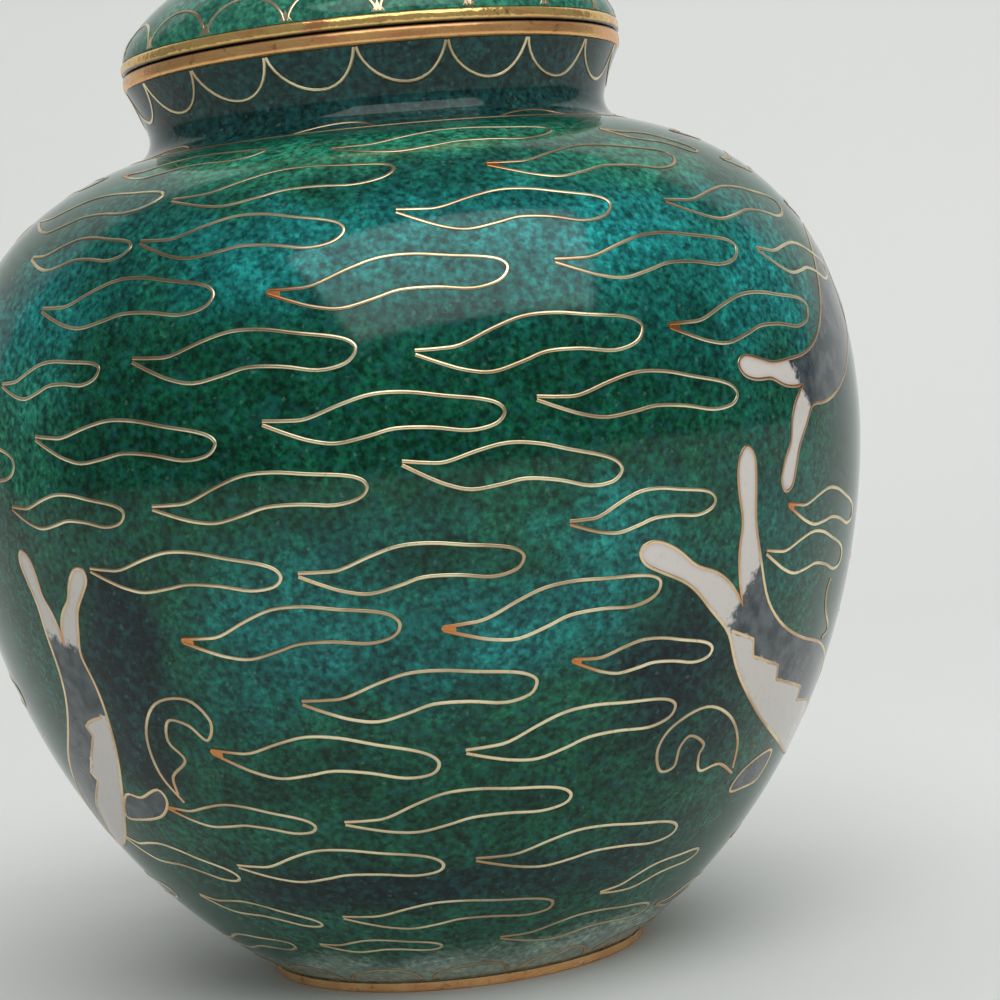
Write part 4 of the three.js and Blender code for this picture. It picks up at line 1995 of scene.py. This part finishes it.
@dataclass
class Bands:
    """The three gilded bands: under the foot, on the rim, and under the lid."""

    shape: JarShape
    turner: Turner

    DENTS = {"mouth_ring": (0.05 * MM, 2.2 * MM), "lid_ring": (0.07 * MM, 2.8 * MM)}

    def side(self, radius: float, bottom: float, top: float) -> list[Spot]:
        """A band's outer side with both edges rounded.

        Args:
            radius: how far out it lies.
            bottom: its lower edge's height.
            top: its upper edge's height.

        Returns:
            Points of radius and height, from the bottom up.
        """
        edge = min(self.shape.band_edge, (top - bottom) / 2)
        low = fillet((radius, bottom), (radius - edge, bottom), (radius, bottom + edge))
        high = fillet((radius, top), (radius, top - edge), (radius - edge, top))
        return low + high

    def band(self, name: str, section: list[Spot], finish: WornGilding, slot: str,
             node: str) -> Piece:
        """Makes one band, dented where it has a joint, with painted shade of the gap along the
        joint.

        Args:
            name: the piece's name.
            section: its section.
            finish: its gilding.
            slot: its material slot.
            node: the solid that it stands for.

        Returns:
            The piece.
        """
        piece = self.turner.turn(name, np.array(section), finish.build())
        if name in self.DENTS:
            roughen(piece, *self.DENTS[name])
            # Painted shade along the joint between jar and lid, for the dark gap between the bands.
            paint_joint_shade(piece, self.shape.seat)
        return hand_over(piece, slot, node)

    def foot(self) -> Piece:
        """The ring that the jar stands on.

        Returns:
            The piece.
        """
        shape = self.shape
        outer, edge = shape.foot_radius, shape.foot_top / 2
        inner = outer - shape.foot_width
        section = [(inner, 0.0), *fillet((outer, 0.0), (outer - edge, 0.0), (outer, edge)),
                   (outer, shape.foot_top), (inner, shape.foot_top), (inner, 0.0)]
        finish = WornGilding("foot_gilding", rub=0.8, gold=(0.97, 0.57, 0.25), metallic=0.45)
        return self.band("foot_ring", section, finish, "foot_brass", "foot_band")

    def mouth(self) -> Piece:
        """The ring on the rim, which the lid rests on.

        Returns:
            The piece.
        """
        shape = self.shape
        section = [(shape.mouth_bore, shape.rim),
                   *self.side(shape.mouth_band_radius, shape.rim, shape.seat),
                   (shape.mouth_bore, shape.seat), (shape.mouth_bore, shape.rim)]
        finish = WornGilding("mouth_gilding", rub=0.9, gold=(0.95, 0.56, 0.22))
        return self.band("mouth_ring", section, finish, "mouth_brass", "mouth_band")

    def lid(self) -> Piece:
        """The ring under the lid with the collar that drops into the neck.

        Returns:
            The piece.
        """
        shape = self.shape
        outer, inner = shape.collar_radius, shape.collar_radius - shape.collar_wall
        bottom = shape.seat - shape.collar_depth
        section = [(inner, bottom), (outer, bottom), (outer, shape.seat),
                   *self.side(shape.lid_band_radius, shape.seat, shape.lid_rim),
                   (inner, shape.lid_rim), (inner, bottom)]
        finish = WornGilding("lid_gilding", rub=0.25, roughness=0.20, lumps=0.22 * MM)
        return self.band("lid_ring", section, finish, "lid_brass", "lid_band")

    def build(self) -> list[Piece]:
        """All three."""
        return [self.foot(), self.mouth(), self.lid()]


def roughen(piece: Piece, depth: float, size: float) -> None:
    """Presses soft dents into a band, never outwards.

    Args:
        piece: the band.
        depth: how deep the deepest dent is.
        size: how far apart the dents are.
    """
    for vertex in piece.data.vertices:
        push = 0.5 + 0.5 * noise.noise(vertex.co / size)
        flat = Vector((vertex.co.x, vertex.co.y, 0))
        vertex.co -= flat.normalized() * depth * push
    piece.data.update()


def paint_joint_shade(piece: Piece, height: float) -> None:
    """Marks a band's faces beside the joint between jar and lid, where painted shade darkens the
    gap.

    Args:
        piece: the band.
        height: the joint's height.
    """
    spots = np.empty(len(piece.data.vertices) * 3)
    piece.data.vertices.foreach_get("co", spots)
    far = np.abs(spots[2::3] - height)
    layer = piece.data.attributes.new("joint_shade_mask", "FLOAT", "POINT")
    layer.data.foreach_set("value", smooth_step(*JOINT_SHADE_REACH, far))


@dataclass
class Lid:
    """The lid's hollow enamelled dome and its wires."""

    shape: JarShape
    turner: Turner
    outline: Outline
    inlay: Tree

    ARCHES, FIRST_ARCH = 18, -57.6
    ARCH_FOOT, ARCH_HEIGHT, ARCH_SHARE, ARCH_LEAN = 0.25 * MM, 3.6 * MM, 0.96, -0.05
    WIRE_WIDTH = 0.43 * MM
    RING_RADIUS, RING_POINTS = 7.5 * MM, 60
    RIPPLES, RIPPLE_LENGTH, RIPPLE_DROP = 6, 14 * MM, 7.5 * MM
    BEAD_WIDTH, BEAD_HEIGHT, BEAD_FOOT = 1.5 * MM, 1.3 * MM, 0.15 * MM
    BEAD_WAIST = (0.25, 0.6)
    BEAD_LIFTS, BEAD_PITCH = (-0.02 * MM, -0.3 * MM), 0.5 * MM

    def section(self) -> np.ndarray:
        """The dome's section: up the outside to the axis, then down the inside.

        Returns:
            Points of radius and height.
        """
        shape = self.shape
        skin, within = (self.outline.inset(depth) for depth in (shape.enamel_depth, shape.lid_wall))
        for line, depth in ((skin, shape.enamel_depth), (within, shape.lid_wall)):
            line[0] = (shape.lid_radius - depth, shape.lid_rim)
            line[-1] = (0.0, shape.lid_top - depth)
        return np.vstack([within[0], skin, within[:0:-2], within[0]])

    def enamel(self) -> Piece:
        """The dome.

        Returns:
            The piece.
        """
        finish = SpeckledEnamel("jade_enamel", base=Tint.LID, contrast=0.8).build()
        piece = self.turner.turn("lid_enamel", self.section(), finish)
        return hand_over(piece, "lid_enamel", "lid_shell")

    def wires(self) -> Piece:
        """The arches over the rim, and a plain ring and ripples on top.

        Returns:
            The piece.
        """
        drawing = WireDrawing("lid_wires", self.outline, self.inlay, self.WIRE_WIDTH,
                              recess=self.shape.enamel_depth)
        arches = Scallops(self.ARCHES, self.FIRST_ARCH, self.ARCH_FOOT, self.ARCH_HEIGHT,
                          self.ARCH_SHARE, self.ARCH_LEAN)
        drawing.strokes += [drawn_line(arc) for arc in arches.arcs()]
        climb = float(np.interp(-self.RING_RADIUS, -self.outline.points[:, 0], self.outline.climbs))
        turns = np.linspace(0, math.tau, self.RING_POINTS, endpoint=False)
        ring = np.column_stack([turns, np.full(self.RING_POINTS, climb)])
        drawing.strokes.append(drawn_line(ring, True))
        for i in range(self.RIPPLES):
            place = Placement(self.outline, i * math.tau / self.RIPPLES, climb - self.RIPPLE_DROP)
            drawing.strokes.append(drawn_line(place.lay(RippleShape().loop(self.RIPPLE_LENGTH))))
        return hand_over(drawing.build(InlayWire("lid_wire").build()), "inlay_wire")

    def beads(self) -> Piece:
        """The small gold triangles where the arches meet the band.

        Returns:
            The piece.
        """
        fields = CellBuilder("lid_cusps", *self.BEAD_LIFTS)
        half, rise = self.BEAD_WIDTH / 2, self.BEAD_HEIGHT
        waist = (self.BEAD_WAIST[0] * half, self.BEAD_WAIST[1] * rise)
        ring = np.array([(-half, 0.0), (half, 0.0), waist, (0.0, rise), (-waist[0], waist[1])])
        for i in range(self.ARCHES):
            turn = math.radians(self.FIRST_ARCH) + i * math.tau / self.ARCHES
            fields.add(Cell(ring, Placement(self.outline, turn, self.BEAD_FOOT)), self.BEAD_PITCH)
        return hand_over(fields.build(InlayWire("cusp_gold").build()), "inlay_wire")

    def build(self) -> list[Piece]:
        """Everything of the dome."""
        return [self.enamel(), self.wires(), self.beads()]


@dataclass(frozen=True)
class Softbox:
    """A rectangular light that looks at a point, and whether it shows in gloss."""

    name: str
    place: tuple[float, float, float]
    size: Range
    watts: float
    glossy: bool = False
    aim: tuple[float, float, float] = (0, 0, 0.055)

    def hang(self) -> None:
        """Puts the light in the scene."""
        data = bpy.data.lights.new(self.name, "AREA")
        data.shape, data.size, data.size_y, data.energy = "RECTANGLE", *self.size, self.watts
        light = link(self.name, data)
        light.location = self.place
        light.rotation_mode = "QUATERNION"
        way = Vector(self.aim) - Vector(self.place)
        light.rotation_quaternion = way.to_track_quat("-Z", "Y")
        light.visible_glossy = self.glossy


@dataclass(frozen=True)
class Studio:
    """The pale sheet, the soft lights and the dim room round them."""

    front: float = 0.55
    backdrop: float = 0.55
    sheet_side: float = 0.9
    sweep: float = 0.25
    sweep_points: int = 13
    sheet_height: float = 0.9
    lights: tuple[Softbox, ...] = (
        Softbox("ceiling_light", (0.1, -0.4, 1.4), (1.8, 1.5), 5.4),
        Softbox("window", (0.25, -0.68, 0.95), (1.3, 0.9), 9.0, glossy=True),
        Softbox("low_light", (0.1, -1.0, 0.12), (0.9, 0.3), 1.4),
        Softbox("backdrop_light", (0, 0.2, 0.9), (1.4, 0.3), 2.0, aim=(0, 0.55, 0.25)),
    )
    room_colour: tuple[float, ...] = (0.93, 0.97, 1.0, 1.0)
    room_strength: float = 0.15

    def lay_sheet(self) -> None:
        """Lays a floor that sweeps up into a wall behind the jar."""
        angle = np.linspace(0, math.pi / 2, self.sweep_points)
        bend = np.column_stack([self.backdrop - self.sweep + self.sweep * np.sin(angle),
                                self.sweep - self.sweep * np.cos(angle)])
        line = np.vstack([[(-self.front, 0.0)], bend, [(self.backdrop, self.sheet_height)]])
        corners = [(x, y, z) for y, z in line for x in (-self.sheet_side, self.sheet_side)]
        faces = [(2 * i, 2 * i + 1, 2 * i + 3, 2 * i + 2) for i in range(len(line) - 1)]
        mesh = bpy.data.meshes.new("pale_sheet")
        mesh.from_pydata(corners, [], faces)
        mesh.shade_smooth()
        mesh.materials.append(PaleBoard("pale_board").build())
        sheet = link("pale_sheet", mesh)

    def build(self) -> None:
        """Sets the sheet, the lights and the room."""
        self.lay_sheet()
        for light in self.lights:
            light.hang()
        world = bpy.data.worlds.new("room")
        world.use_nodes = True
        room = world.node_tree.nodes["Background"].inputs
        room["Color"].default_value = self.room_colour
        room["Strength"].default_value = self.room_strength
        bpy.context.scene.world = world
        view = bpy.context.scene.view_settings
        view.view_transform = "Standard"
        view.look = "None"


def main() -> None:
    """Builds the jar's pieces in order, then the room."""
    logging.basicConfig(level=logging.INFO, format="%(name)s %(message)s")
    shape = JarShape.from_frame()
    sight = Sight()
    turner = Turner(turning_tree())
    inlay = inlay_tree()
    sight.stand_camera()
    Body(shape, turner, sight, body_outline(shape), inlay).build()
    Bands(shape, turner).build()
    Lid(shape, turner, lid_outline(shape), inlay).build()
    Studio().build()


if __name__ == "__main__":
    main()
